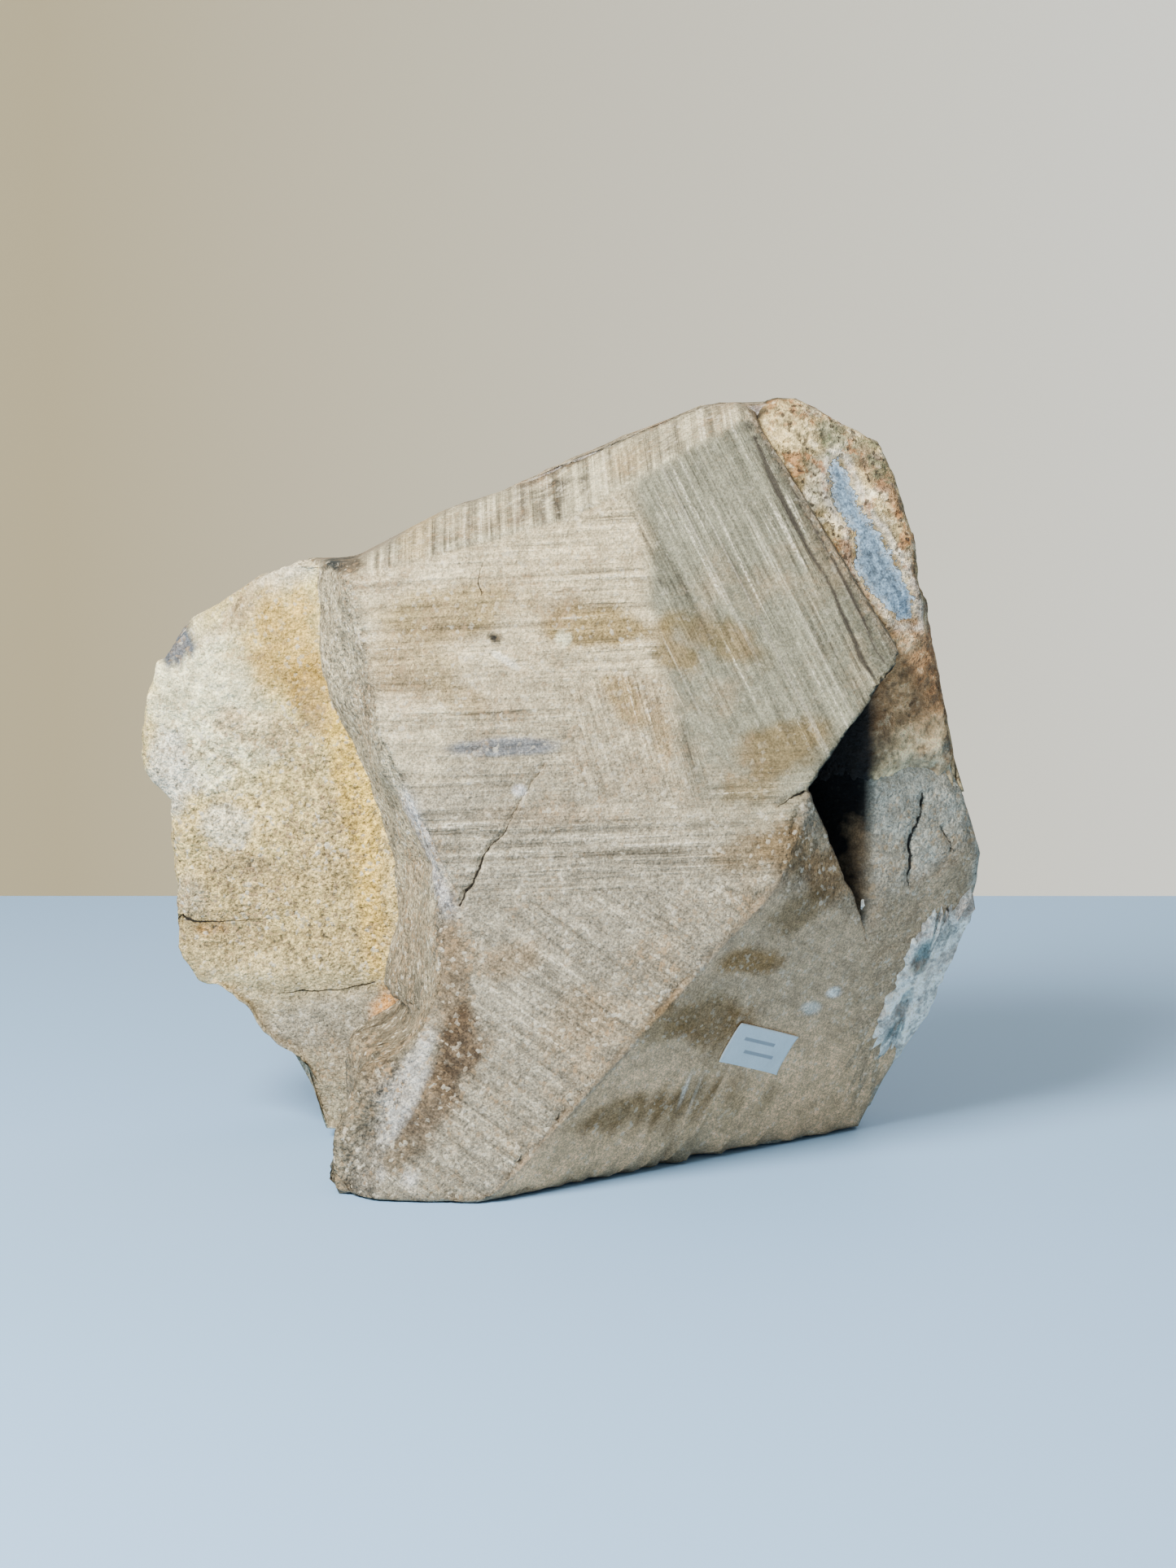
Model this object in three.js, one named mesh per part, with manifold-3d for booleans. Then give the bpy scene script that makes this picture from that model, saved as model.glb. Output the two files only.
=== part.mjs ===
// An amethyst cluster that stands on its sawn foot: a block of basalt, the chalcedony rind that lined
// the cavity it came from, the crust of amethyst crystals grown on that rind, and a blank paper label.
// Millimetres, +Z up. The sawn back of the basalt faces -Y and the crystals face +Y. The origin is on
// the resting face, under the middle of the stone's box.

import * as THREE from 'three';
import { ConvexGeometry } from 'three/addons/geometries/ConvexGeometry.js';
import * as BufferGeometryUtils from 'three/addons/utils/BufferGeometryUtils.js';
import Module from 'manifold-3d';

const wasm = await Module();
wasm.setup();

// ---------------------------------------------------------------- driving dimensions

const gap = 0.3;               // clearance between pieces that touch
const halfWidth = 90;
const stoneDepth = 140;        // longer than the stone, for the block that its outline is cut from
const patchThickness = 4;      // rind left standing at the lower right rim
const crustFloor = 80;         // z where the weathered crust ends and the shoulder begins
const slabFloor = 50;          // z that the upper slab reaches down to, inside the foot
const footTop = 88;            // z that the foot reaches up to, inside the slab
const wingEnd = -20;           // x that the wing reaches to, inside the block
const heart = new THREE.Vector3(0, 0, 75);   // the point that every cut is measured from

// Each flat of the stone is a plane. turn is its heading in degrees from -Y towards +X, lean is its
// tilt upwards in degrees, and reach is its distance from the heart in mm.
const cuts = {
  backLeft:   { turn: -5.5, lean: 18.5, reach: 27 },      // the large sawn back, left of the bend
  backRight:  { turn: -3, lean: 19, reach: 28 },          // the same face right of the bend
  backFoot:   { turn: -5.5, lean: 17, reach: 27 },        // lower back, down to the ground
  underside:  { turn: 38.5, lean: -22.5, reach: 56 },     // overhanging face at the lower right
  brokenTip:  { turn: 46.5, lean: -1.5, reach: 57.5 },    // broken corner between back and underside
  topLeft:    { turn: -34, lean: 63.5, reach: 57.5 },     // bevel along the top
  topRight:   { turn: -44, lean: 54.5, reach: 52.5 },
  slabEdge:   { turn: 84, lean: 33, reach: 78.5 },        // thin right edge of the upper slab
  stepUpper:  { turn: -63.5, lean: 2.5, reach: 44 },      // step down from the block to the wing
  stepLower:  { turn: -70, lean: -21, reach: 34 },
  footSide:   { turn: -95.5, lean: 18, reach: 12.5 },
  footBevel:  { turn: -41.5, lean: 21.5, reach: 29 },
  lipUpper:   { turn: 119, lean: -39, reach: 19 },        // the two undercut walls of the side hollow
  lipLower:   { turn: 119, lean: 32, reach: 29.5 },
  shoulder:   { turn: 26.5, lean: 1, reach: 42 },         // grey face behind the side hollow
  hollowBack: { turn: -26, lean: 0, reach: -15.5 },       // the hollow's rear wall
  innerEdge:  { turn: -90, lean: 13, reach: -22.5 },      // crust and shoulder end inside the block
  crust:      { turn: 4, lean: 20.5, reach: 30.5 },       // weathered outside of the rind, upper right
  wing:       { turn: -11.5, lean: 1.5, reach: 4 },       // rough wing at the left
  wingFoot:   { turn: -11, lean: -2, reach: 6 },
  rimPatch:   { turn: 56.5, lean: -23, reach: 75 },   // rind showing at the lower right rim
  seam:       { turn: 177, lean: 4, reach: 17 },          // basalt ends, rind begins
  bed:        { turn: 177, lean: 4, reach: 24 },          // rind ends, crystals begin
};

// Outline of the stone seen along Y, as [x, z] corners: up the left side from the foot to the peak,
// then down the right side.
const leftRim = [
  [-50.5, 0], [-52, 4], [-55, 15.5], [-62, 18.5], [-69, 25.5], [-78, 34.5], [-83, 41.5], [-82.5, 60],
  [-82.5, 73], [-89.5, 79.5], [-90, 86], [-88, 95.5], [-85.5, 103], [-78.5, 111], [-66, 120],
  [-55.5, 125.5], [-44, 126], [-22.5, 137.5], [-15, 139.5], [2, 147.5], [19.5, 154.5], [30, 159],
];
const rightRim = [
  [42, 159.5], [49.5, 160.5], [57, 156], [67, 151], [70.5, 143.5], [73, 135], [77, 115], [82.5, 91],
  [84.5, 79.5], [90, 64], [89.5, 55], [86, 42], [79.5, 26.5], [70.5, 11.5], [65.5, 0],
];

const rimChip = { x: -85, y: 12, z: 108, width: 15, depth: 22, height: 8.5, tilt: 42 };   // rim broken away

const crystalLayout = {
  pitch: 18,                 // between crystal roots
  jitter: 4,
  crust: 4,                  // solid quartz under the points
  rooted: 4,                   // how far a crystal runs down into the crust
  smallRadius: 6.5,
  radiusSpread: 4.5,
  smallHeight: 8,
  heightSpread: 9,
  centreGain: 0.3,             // crystals near the middle are this much larger
  splay: 20,                   // greatest lean of a crystal from the bed's normal, degrees
  inset: 0.965,                // the crust keeps this share of the stone's outline
  rootShare: 0.93,             // and the roots of its points this share
  columns: 6,                  // roots to each side of the middle
  rows: 11,
  seed: 4,
};
const rhombAngle = 51.8;       // between a quartz point's faces and its base, degrees

const label = { width: 19, height: 9.5, thickness: 0.3, x: 41.4, y: -18.3, z: 25.6, slope: -19 };

// ---------------------------------------------------------------- solids from planes

const degree = Math.PI / 180;

// The plane of a cut, moved outwards by grow. Inside the stone is its negative side.
function planeOf({ turn, lean, reach }, grow = 0) {
  const normal = new THREE.Vector3(
    Math.sin(turn * degree) * Math.cos(lean * degree),
    -Math.cos(turn * degree) * Math.cos(lean * degree),
    Math.sin(lean * degree),
  );
  return new THREE.Plane(normal, -(reach + grow + normal.dot(heart)));
}

// A plane square to a world axis, keeping the side where sign * coordinate < sign * value.
function limit(axis, sign, value) {
  const normal = new THREE.Vector3();
  normal[axis] = sign;
  return new THREE.Plane(normal, -sign * value);
}

const stoneLimits = [
  limit('x', 1, 100), limit('x', -1, -100),
  limit('y', 1, 60), limit('y', -1, -60),
  limit('z', 1, 165), limit('z', -1, 0),
];

// The point shared by three planes, or null where they share none.
function meetingPoint(first, second, third) {
  const secondThird = new THREE.Vector3().crossVectors(second.normal, third.normal);
  const thirdFirst = new THREE.Vector3().crossVectors(third.normal, first.normal);
  const firstSecond = new THREE.Vector3().crossVectors(first.normal, second.normal);
  const spread = first.normal.dot(secondThird);
  if (Math.abs(spread) < 1e-6) return null;
  return secondThird.multiplyScalar(-first.constant)
    .addScaledVector(thirdFirst, -second.constant)
    .addScaledVector(firstSecond, -third.constant)
    .divideScalar(spread);
}

// Corners of the convex body that lies on the negative side of every plane.
function cornersOf(planes) {
  const corners = [];
  for (let i = 0; i < planes.length; i += 1) {
    for (let j = i + 1; j < planes.length; j += 1) {
      for (let k = j + 1; k < planes.length; k += 1) {
        const point = meetingPoint(planes[i], planes[j], planes[k]);
        if (!point || planes.some((plane) => plane.distanceToPoint(point) > 1e-4)) continue;
        if (corners.every((corner) => corner.distanceTo(point) > 1e-3)) corners.push(point);
      }
    }
  }
  return corners;
}

function solidOf(geometry) {
  geometry.deleteAttribute('normal');
  geometry.deleteAttribute('uv');
  const merged = BufferGeometryUtils.mergeVertices(geometry, 1e-4);
  return new wasm.Manifold(new wasm.Mesh({
    numProp: 3,
    vertProperties: new Float32Array(merged.attributes.position.array),
    triVerts: new Uint32Array(merged.index.array),
  }));
}

const bodyOf = (planes) => solidOf(new ConvexGeometry(cornersOf(planes)));

// A lump of the stone: named cuts, each moved outwards by grow, and a few square limits.
const lump = (names, limits = [], grow = 0) => bodyOf([
  ...names.map((name) => planeOf(cuts[name], grow)), ...limits, ...stoneLimits,
]);

const joined = (solids) => solids.reduce((whole, solid) => whole.add(solid));

// The stone's outline carried along Y, scaled about the middle of its height.
function outlineSolid(scale = 1) {
  const corners = [...leftRim, ...rightRim];
  const shape = new THREE.Shape(corners.map(([x, z]) => (
    new THREE.Vector2(x * scale, Math.max(0, heart.z + (z - heart.z) * scale))
  )));
  const geometry = new THREE.ExtrudeGeometry(shape, { depth: stoneDepth, bevelEnabled: false, steps: 1 });
  geometry.rotateX(Math.PI / 2);
  geometry.translate(0, stoneDepth / 2, 0);
  return solidOf(geometry);
}

// ---------------------------------------------------------------- basalt and rind

const outline = outlineSolid();

// The weathered crust of the rind, right of the slab and above the shoulder.
const crustLump = (grow = 0) => lump(
  ['crust', 'shoulder', 'hollowBack', 'innerEdge'],
  [planeOf(cuts.bed), limit('z', -1, crustFloor - grow)],
  grow,
);

function basaltMatrix() {
  const seam = planeOf(cuts.seam);
  const patchFloor = planeOf(cuts.rimPatch, -patchThickness);
  const upper = ['backLeft', 'backRight', 'stepUpper', 'stepLower', 'slabEdge', 'lipUpper'];
  const lumps = [
    lump([...upper, 'topLeft'], [seam, limit('z', -1, slabFloor)]),
    lump([...upper, 'topRight'], [seam, limit('z', -1, slabFloor)]),
    lump(
      ['backLeft', 'backRight', 'backFoot', 'underside', 'brokenTip', 'lipLower', 'footSide', 'footBevel'],
      [seam, patchFloor, limit('z', 1, footTop)],
    ),
    lump(
      ['shoulder', 'hollowBack', 'innerEdge', 'underside'],
      [seam, patchFloor, limit('z', 1, crustFloor - gap)],
    ),
    lump(['wing', 'wingFoot', 'topLeft'], [seam, limit('x', 1, wingEnd)]),
  ];
  const chip = new THREE.BoxGeometry(rimChip.width, rimChip.depth, rimChip.height);
  chip.rotateY(-rimChip.tilt * degree);
  chip.translate(rimChip.x, rimChip.y, rimChip.z);
  return joined(lumps)
    .intersect(outline)
    .subtract(crustLump(gap))
    .subtract(solidOf(chip));
}

function chalcedonyRind() {
  const bed = planeOf(cuts.bed);
  const behindSeam = planeOf(cuts.seam, gap).negate();
  const patchBack = planeOf(cuts.rimPatch, gap - patchThickness).negate();
  const plate = bodyOf([bed, behindSeam, ...stoneLimits]);
  const patch = lump(['rimPatch', 'underside', 'shoulder'], [bed, patchBack]);
  return joined([plate, crustLump(), patch]).intersect(outline);
}

// ---------------------------------------------------------------- amethyst

// Repeatable numbers between 0 and 1.
function numbersFrom(seed) {
  let state = seed;
  return () => {
    state = (Math.imul(state, 1664525) + 1013904223) >>> 0;
    return state / 4294967296;
  };
}

// The planes of one quartz crystal: six sides, six point faces of unequal size, and its root.
function crystalPlanes({ root, axis, side, radius, height }, random) {
  const across = new THREE.Vector3().crossVectors(axis, side);
  const planes = [];
  const through = (normal, distance) => planes.push(
    new THREE.Plane(normal, -(distance + normal.dot(root))),
  );
  for (let face = 0; face < 6; face += 1) {
    const angle = face * 60 * degree;
    const outwards = side.clone().multiplyScalar(Math.cos(angle)).addScaledVector(across, Math.sin(angle));
    through(outwards, radius * (0.88 + 0.24 * random()));
    const tilted = axis.clone().multiplyScalar(Math.cos(rhombAngle * degree))
      .addScaledVector(outwards, Math.sin(rhombAngle * degree));
    const setBack = (face % 2) * 0.9 * random() + 0.5 * random();
    through(tilted, Math.cos(rhombAngle * degree) * (height + setBack));
  }
  through(axis.clone().negate(), crystalLayout.rooted);
  return planes;
}

function insideOutline(x, z) {
  const corners = [...leftRim, ...rightRim];
  let inside = false;
  corners.forEach(([cornerX, cornerZ], index) => {
    const [nextX, nextZ] = corners[(index + 1) % corners.length];
    const crosses = (cornerZ > z) !== (nextZ > z);
    if (crosses && x < cornerX + ((z - cornerZ) / (nextZ - cornerZ)) * (nextX - cornerX)) inside = !inside;
  });
  return inside;
}

function amethystCrystals() {
  const { pitch, jitter, crust, splay, inset, rootShare, rows, columns } = crystalLayout;
  const random = numbersFrom(crystalLayout.seed);
  const bed = planeOf(cuts.bed, gap);
  const crustTop = planeOf(cuts.bed, crust);
  const solids = [bodyOf([crustTop, bed.clone().negate(), ...stoneLimits]).intersect(outlineSolid(inset))];
  const rowHeight = pitch * Math.sqrt(3) / 2;
  for (let row = 0; row < rows; row += 1) {
    for (let column = -columns; column <= columns; column += 1) {
      const x = (column + (row % 2) / 2) * pitch + (random() - 0.5) * 2 * jitter;
      const z = row * rowHeight + (random() - 0.5) * 2 * jitter;
      const spin = random() * 60 * degree;
      const size = random();
      const leanX = (random() - 0.5) * 2 * splay * degree;
      const leanZ = (random() - 0.5) * 2 * splay * degree;
      const distance = Math.hypot(x, z - heart.z) / halfWidth;
      const gain = 1 + crystalLayout.centreGain * (1 - distance);
      const root = crustTop.projectPoint(new THREE.Vector3(x, 40, z), new THREE.Vector3());
      const axis = crustTop.normal.clone().applyEuler(new THREE.Euler(leanZ, 0, leanX));
      const side = new THREE.Vector3(Math.cos(spin), 0, Math.sin(spin)).cross(axis).normalize();
      const shape = {
        root, axis, side,
        radius: (crystalLayout.smallRadius + crystalLayout.radiusSpread * size) * gain,
        height: (crystalLayout.smallHeight + crystalLayout.heightSpread * random()) * gain,
      };
      const planes = crystalPlanes(shape, random);
      if (insideOutline(x / rootShare, heart.z + (z - heart.z) / rootShare)) solids.push(bodyOf(planes));
    }
  }
  const underBed = bodyOf([bed.clone(), ...stoneLimits]);
  return joined(solids).subtract(underBed).intersect(outlineSolid(inset));
}

// ---------------------------------------------------------------- label

function paperLabel() {
  const face = planeOf(cuts.underside);
  const level = new THREE.Vector3(0, 0, 1).cross(face.normal).normalize();
  const along = level.applyAxisAngle(face.normal, label.slope * degree);
  const up = new THREE.Vector3().crossVectors(face.normal, along);
  const middle = face.projectPoint(new THREE.Vector3(label.x, label.y, label.z), new THREE.Vector3());
  middle.addScaledVector(face.normal, gap + label.thickness / 2);
  const sheet = new THREE.BoxGeometry(label.width, label.height, label.thickness);
  sheet.applyMatrix4(new THREE.Matrix4().makeBasis(along, up, face.normal).setPosition(middle));
  return solidOf(sheet);
}

// ---------------------------------------------------------------- the cluster

const basalt = new THREE.MeshStandardMaterial({ color: '#a49d8b', roughness: 0.92, metalness: 0 });
const chalcedony = new THREE.MeshStandardMaterial({ color: '#a9a08c', roughness: 0.7, metalness: 0 });
const amethyst = new THREE.MeshStandardMaterial({ color: '#6b4594', roughness: 0.08, metalness: 0 });
const paper = new THREE.MeshStandardMaterial({ color: '#c9d2d0', roughness: 0.6, metalness: 0 });

function piece(name, solid, material) {
  const { vertProperties, triVerts } = solid.getMesh();
  const geometry = new THREE.BufferGeometry();
  geometry.setAttribute('position', new THREE.BufferAttribute(new Float32Array(vertProperties), 3));
  geometry.setIndex(new THREE.BufferAttribute(new Uint32Array(triVerts), 1));
  geometry.computeVertexNormals();
  const mesh = new THREE.Mesh(geometry, material);
  mesh.name = name;
  return mesh;
}

const cluster = new THREE.Group();
cluster.add(
  piece('basalt_matrix', basaltMatrix(), basalt),
  piece('chalcedony_rind', chalcedonyRind(), chalcedony),
  piece('amethyst_crystals', amethystCrystals(), amethyst),
  piece('label', paperLabel(), paper),
);

export default cluster;
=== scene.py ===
import math

import bmesh
import bpy
import numpy as np
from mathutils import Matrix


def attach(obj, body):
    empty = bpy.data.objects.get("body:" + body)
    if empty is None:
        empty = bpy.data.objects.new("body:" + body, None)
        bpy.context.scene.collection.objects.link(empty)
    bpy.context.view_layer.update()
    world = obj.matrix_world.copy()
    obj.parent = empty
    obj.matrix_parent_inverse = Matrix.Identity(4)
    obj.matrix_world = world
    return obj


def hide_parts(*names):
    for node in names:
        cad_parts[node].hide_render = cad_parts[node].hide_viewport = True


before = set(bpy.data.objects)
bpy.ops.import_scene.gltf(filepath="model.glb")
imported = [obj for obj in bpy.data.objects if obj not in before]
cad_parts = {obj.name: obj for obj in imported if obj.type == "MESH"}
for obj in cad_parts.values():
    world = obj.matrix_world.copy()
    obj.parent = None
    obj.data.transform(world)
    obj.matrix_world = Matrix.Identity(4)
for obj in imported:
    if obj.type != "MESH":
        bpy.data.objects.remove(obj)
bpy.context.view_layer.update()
print("frame loaded")

mm = 0.001
degree = math.pi / 180
heart = np.array([0, 0, 75.0])   # the point every flat of the stone is measured from, in mm

# Each flat of the stone: turn is its heading from -Y towards +X, lean its tilt upwards, both in
# degrees, and reach its distance from the heart in mm.
flats = {
    "backLeft": (-5.5, 18.5, 27),       # the large sawn back, left of its bend
    "backRight": (-3, 19, 28),
    "backFoot": (-5.5, 17, 27),         # the lower back, down to the ground
    "underside": (38.5, -22.5, 56),     # overhanging face at the lower right
    "brokenTip": (46.5, -1.5, 57.5),
    "topLeft": (-34, 63.5, 57.5),       # sawn bevel along the top
    "topRight": (-44, 54.5, 52.5),
    "slabEdge": (84, 33, 78.5),
    "stepUpper": (-63.5, 2.5, 44),      # wall between the block and the wing
    "stepLower": (-70, -21, 34),
    "stepFoot": (-73.5, 6.3, 30.5),
    "footSide": (-84, 25.5, 11.3),
    "footBevel": (-41.5, 21.5, 29),
    "lipUpper": (119, -39, 19),         # undercut walls of the hollow in the right side
    "lipLower": (119, 32, 29.5),
    "shoulder": (26.5, 1, 42),
    "hollowBack": (-26, 0, -15.5),
    "innerEdge": (-90, 13, -22.5),
    "crust": (4, 20.5, 30.5),           # weathered outside of the rind
    "wing": (-11.5, 1.5, 4),
    "wingFoot": (-11, -2, 6),
    "rimPatch": (56.5, -23, 75),
    "basaltAtPatch": (56.5, -23, 74.6),
    "undersideBehind": (38.5, -22.5, 55.85),
    "seam": (177, 4, 17),               # basalt ends, rind begins
    "rindFront": (-3, -4, -17.3),
    "bed": (177, 4, 24),                # rind ends, crystals begin
}
# the stone's outline in the XZ plane, mm: up the left side, then down the right
outline = [
    (-50.5, 0), (-52, 4), (-55, 15.5), (-62, 18.5), (-69, 25.5), (-78, 34.5), (-83, 41.5), (-82.5, 60),
    (-82.5, 73), (-89.5, 79.5), (-90, 86), (-88, 95.5), (-85.5, 103), (-78.5, 111), (-66, 120),
    (-55.5, 125.5), (-44, 126), (-22.5, 137.5), (-15, 139.5), (2, 147.5), (19.5, 154.5), (30, 159),
    (42, 159.5), (49.5, 160.5), (57, 156), (67, 151), (70.5, 143.5), (73, 135), (77, 115), (82.5, 91),
    (84.5, 79.5), (90, 64), (89.5, 55), (86, 42), (79.5, 26.5), (70.5, 11.5), (65.5, 0),
]
labelPlace = (41.4, -18.3, 25.6)   # the label's middle, before it is set down on the underside


def flatOf(name):
    # Normal and reach of a flat: (sin turn cos lean, -cos turn cos lean, sin lean).
    turn, lean, reach = flats[name]
    turn, lean = turn * degree, lean * degree
    normal = (math.sin(turn) * math.cos(lean), -math.cos(turn) * math.cos(lean), math.sin(lean))
    return np.array(normal), reach


def paint(red, green, blue):
    # Screen colour, 0 to 255, as linear colour: ((c + 0.055) / 1.055) to the power 2.4.
    c = np.array([red, green, blue]) / 255
    return np.where(c <= 0.04045, c / 12.92, ((c + 0.055) / 1.055) ** 2.4)


def mixed(first, second, share):
    # first + (second - first) * share, for colours at points with one share each.
    return first + (second - first) * share[..., None]


def smoothStep(low, high, value):
    # 0 at low and before it, 1 at high and past it, and the cubic 3t^2 - 2t^3 between. Low may be the
    # larger of the two.
    t = np.clip((value - low) / (high - low), 0, 1)
    return t * t * (3 - 2 * t)


def band(value, middle, width):
    # A smooth ridge of height 1: exp(-((value - middle) / width)^2).
    return np.exp(-((value - middle) / width) ** 2)


def latticeNoise(points, cell, seed):
    # Each corner of a cubic lattice has a number from -1 to 1; a point blends its eight corners smoothly.
    # The large whole numbers only scramble a corner's place and the seed into that corner's number.
    place = points / cell + 11.7 * seed
    corner = np.floor(place).astype(np.int64)
    part = place - corner
    part = part * part * (3 - 2 * part)
    total = np.zeros(points.shape[:-1])
    for dx, dy, dz in np.ndindex(2, 2, 2):
        mix = ((corner[..., 0] + dx) * 73856093) ^ ((corner[..., 1] + dy) * 19349663)
        mix = (mix ^ ((corner[..., 2] + dz) * 83492791) ^ (seed * 2654435)) & 0xffffffff
        mix = ((mix ^ (mix >> 13)) * 1274126177) & 0xffffffff
        value = ((mix ^ (mix >> 16)) & 0xffff) / 32767.5 - 1
        weight = (part[..., 0] if dx else 1 - part[..., 0]) * (part[..., 1] if dy else 1 - part[..., 1])
        total += value * weight * (part[..., 2] if dz else 1 - part[..., 2])
    return total


def roughness(points, cell, octaves, seed):
    # Sum of lattice noises, each half the size and half the height of the last.
    total = np.zeros(points.shape[:-1])
    for octave in range(octaves):
        total += latticeNoise(points, cell / 2 ** octave, seed + octave) / 2 ** octave
    return total


def rimRadius(centre, angle):
    # Distance from the centre to the outline in the XZ plane, at each angle from +X towards +Z.
    corners = np.array(outline + outline[:1], float)
    steps = np.linspace(0, 1, 24, endpoint=False)[None, :, None]   # along each straight side
    line = (corners[:-1, None] * (1 - steps) + corners[1:, None] * steps).reshape(-1, 2)
    line = line - [centre[0], centre[2]]
    turnOf = np.arctan2(line[:, 1], line[:, 0])
    order = np.argsort(turnOf)
    return np.interp(angle, turnOf[order], np.hypot(*line.T)[order], period=2 * math.pi)


def boxDirections(shell):
    # Directions from the shell's centre through a grid on a box about it: rings of columns, closed by a
    # cap of ever smaller rings at the bottom and top, with the box's depth sheared by skew.
    a, b, c = shell["half"]
    bottom, wall, top = shell["rows"]
    corners = np.array([(-a, -b), (a, -b), (a, b), (-a, b), (-a, -b)])
    ring = np.concatenate([
        start + (end - start) * np.linspace(0, 1, count, endpoint=False)[:, None]
        for start, end, count in zip(corners[:-1], corners[1:], shell["columns"])
    ])
    smallest = 0.02   # share of the ring nearest a pole
    spread = np.concatenate([
        np.linspace(smallest, 1, bottom, endpoint=False),
        np.ones(wall),
        np.linspace(1, smallest, top + 1)[1:],
    ])
    height = np.concatenate([np.full(bottom, -c), np.linspace(-c, c, wall), np.full(top, c)])
    across = spread[:, None] * ring[None, :, 0]
    level = np.broadcast_to(height[:, None], across.shape)
    skewX, skewZ = shell.get("skew", (0, 0))
    depth = spread[:, None] * ring[None, :, 1] + skewX * across + skewZ * level
    target = np.stack([across, depth, level], -1)
    return target / np.linalg.norm(target, axis=-1, keepdims=True)


def castShell(shell):
    # Along each direction, every body of the shell ends at the soft minimum of its flats' distances,
    # -log(sum of exp(-distance / wear)) * wear, so its edges are worn round; the shell takes the body that
    # reaches furthest. Gives the points, their normals, each flat's weight and the closeness of a sharp
    # edge, which is how far the mix of the flats' normals falls short of 1.
    tiny, far = 1e-6, 1e6
    centre = np.array(shell["centre"], float)
    ray = boxDirections(shell)
    best = np.full(ray.shape[:2], -1.0)
    normals = np.zeros(ray.shape)
    names = {name for body in shell["bodies"] for name in body} | {"rim", "ground"}
    weights = {name: np.zeros(best.shape) for name in sorted(names)}
    inPlane = np.maximum(np.hypot(ray[..., 0], ray[..., 2]), tiny)
    rimAt = rimRadius(centre, np.arctan2(ray[..., 2], ray[..., 0])) / inPlane
    outwards = ray * (1, 0, 1) / inPlane[..., None]
    for body, limits in zip(shell["bodies"], shell["limits"]):
        limits = limits + [(2, -1, 0.0)]   # the ground ends every body
        owners = np.array(body + ["ground"] * len(limits) + ["rim"])
        planes = [flatOf(name) for name in body]
        for axis, sign, place in limits:
            planes.append((sign * np.eye(3)[axis], sign * (place - heart[axis])))
        facing, reach = (np.array(part) for part in zip(*planes))
        reach = reach - facing @ (centre - heart)
        along = ray @ facing.T
        distances = np.where(along > tiny, reach / np.maximum(along, tiny), far)
        distances = np.concatenate([distances, rimAt[..., None]], -1)
        nearest = distances.min(-1)
        share = np.exp(-np.minimum((distances - nearest[..., None]) / shell["wear"], 60))
        reachHere = nearest - shell["wear"] * np.log(share.sum(-1))
        share /= share.sum(-1, keepdims=True)
        further = reachHere > best
        best[further] = reachHere[further]
        normals[further] = (share[..., :-1] @ facing + share[..., -1:] * outwards)[further]
        for name, weight in weights.items():
            weight[further] = share[..., owners == name].sum(-1)[further]
    points = centre + ray * best[..., None]
    length = np.linalg.norm(normals, axis=-1)
    edge = np.clip(8 * (1 - length), 0, 1)
    return points, normals / length[..., None], weights, edge


def addObject(name, data):
    item = bpy.data.objects.new(name, data)
    bpy.context.scene.collection.objects.link(item)
    return item


def gridQuads(index):
    # Quads between the neighbours of a grid of vertex numbers.
    return np.stack([index[:-1, :-1], index[:-1, 1:], index[1:, 1:], index[1:, :-1]], -1).reshape(-1, 4)


def ringFaces(rows, columns, first):
    # Quads between neighbouring rings, and the two end rings as triangle fans about a middle point each.
    index = np.arange(rows * columns).reshape(rows, columns) + first
    after = np.roll(index, -1, 1)
    low, high = first + rows * columns, first + rows * columns + 1
    fans = np.concatenate([
        np.stack([after[0], index[0], np.full(columns, low)], -1),
        np.stack([index[-1], after[-1], np.full(columns, high)], -1),
    ])
    return gridQuads(np.hstack([index, index[:, :1]])), fans


def meshPiece(name, vertices, quads, triangles, attributes, material, smooth=True):
    # One mesh from arrays: vertices in mm, faces of four and of three corners, and named point attributes.
    mesh = bpy.data.meshes.new(name)
    faces = quads.tolist() + triangles.tolist()
    mesh.from_pydata((vertices * mm).tolist(), [], faces, shade_flat=not smooth)
    for key, values in attributes.items():
        kind, field = ("FLOAT", "value") if values.shape[1] == 1 else ("FLOAT_VECTOR", "vector")
        layer = mesh.attributes.new(key, kind, "POINT")
        layer.data.foreach_set(field, values.astype(np.float32).ravel())
    mesh.validate()
    mesh.materials.append(material)
    return addObject(name, mesh)


def stonePiece(name, shells, finishShell, material):
    # All shells of a piece in one mesh: cast, carved and painted by finishShell, and closed at both ends
    # by a vertex in the middle of the end ring.
    quads, fans, parts, first = [], [], {}, 0
    for key, shell in shells.items():
        points, looks = finishShell(key, *castShell(shell))
        points[..., 2] = np.maximum(points[..., 2], 0)
        rows, columns = points.shape[:2]
        newQuads, newFans = ringFaces(rows, columns, first)
        quads.append(newQuads)
        fans.append(newFans)
        for look, values in ({"place": points} | looks).items():
            values = values.reshape(rows, columns, -1)
            ends = [values[0].mean(0)[None], values[-1].mean(0)[None]]
            parts.setdefault(look, []).extend([values.reshape(rows * columns, -1)] + ends)
        first += rows * columns + 2
    attributes = {look: np.concatenate(values) for look, values in parts.items()}
    vertices = attributes.pop("place")
    piece = meshPiece(name, vertices, np.concatenate(quads), np.concatenate(fans), attributes, material)
    print(name, "made,", len(piece.data.polygons), "faces")
    return piece


def ellipse(points, middle, half, tilt):
    # A point's place along and across an ellipse in the XZ plane, where 1 is the ellipse's end.
    turn = tilt * degree
    dx, dz = points[..., 0] - middle[0], points[..., 2] - middle[1]
    along = dx * math.cos(turn) + dz * math.sin(turn)
    return along / half[0], (dz * math.cos(turn) - dx * math.sin(turn)) / half[1]


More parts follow.
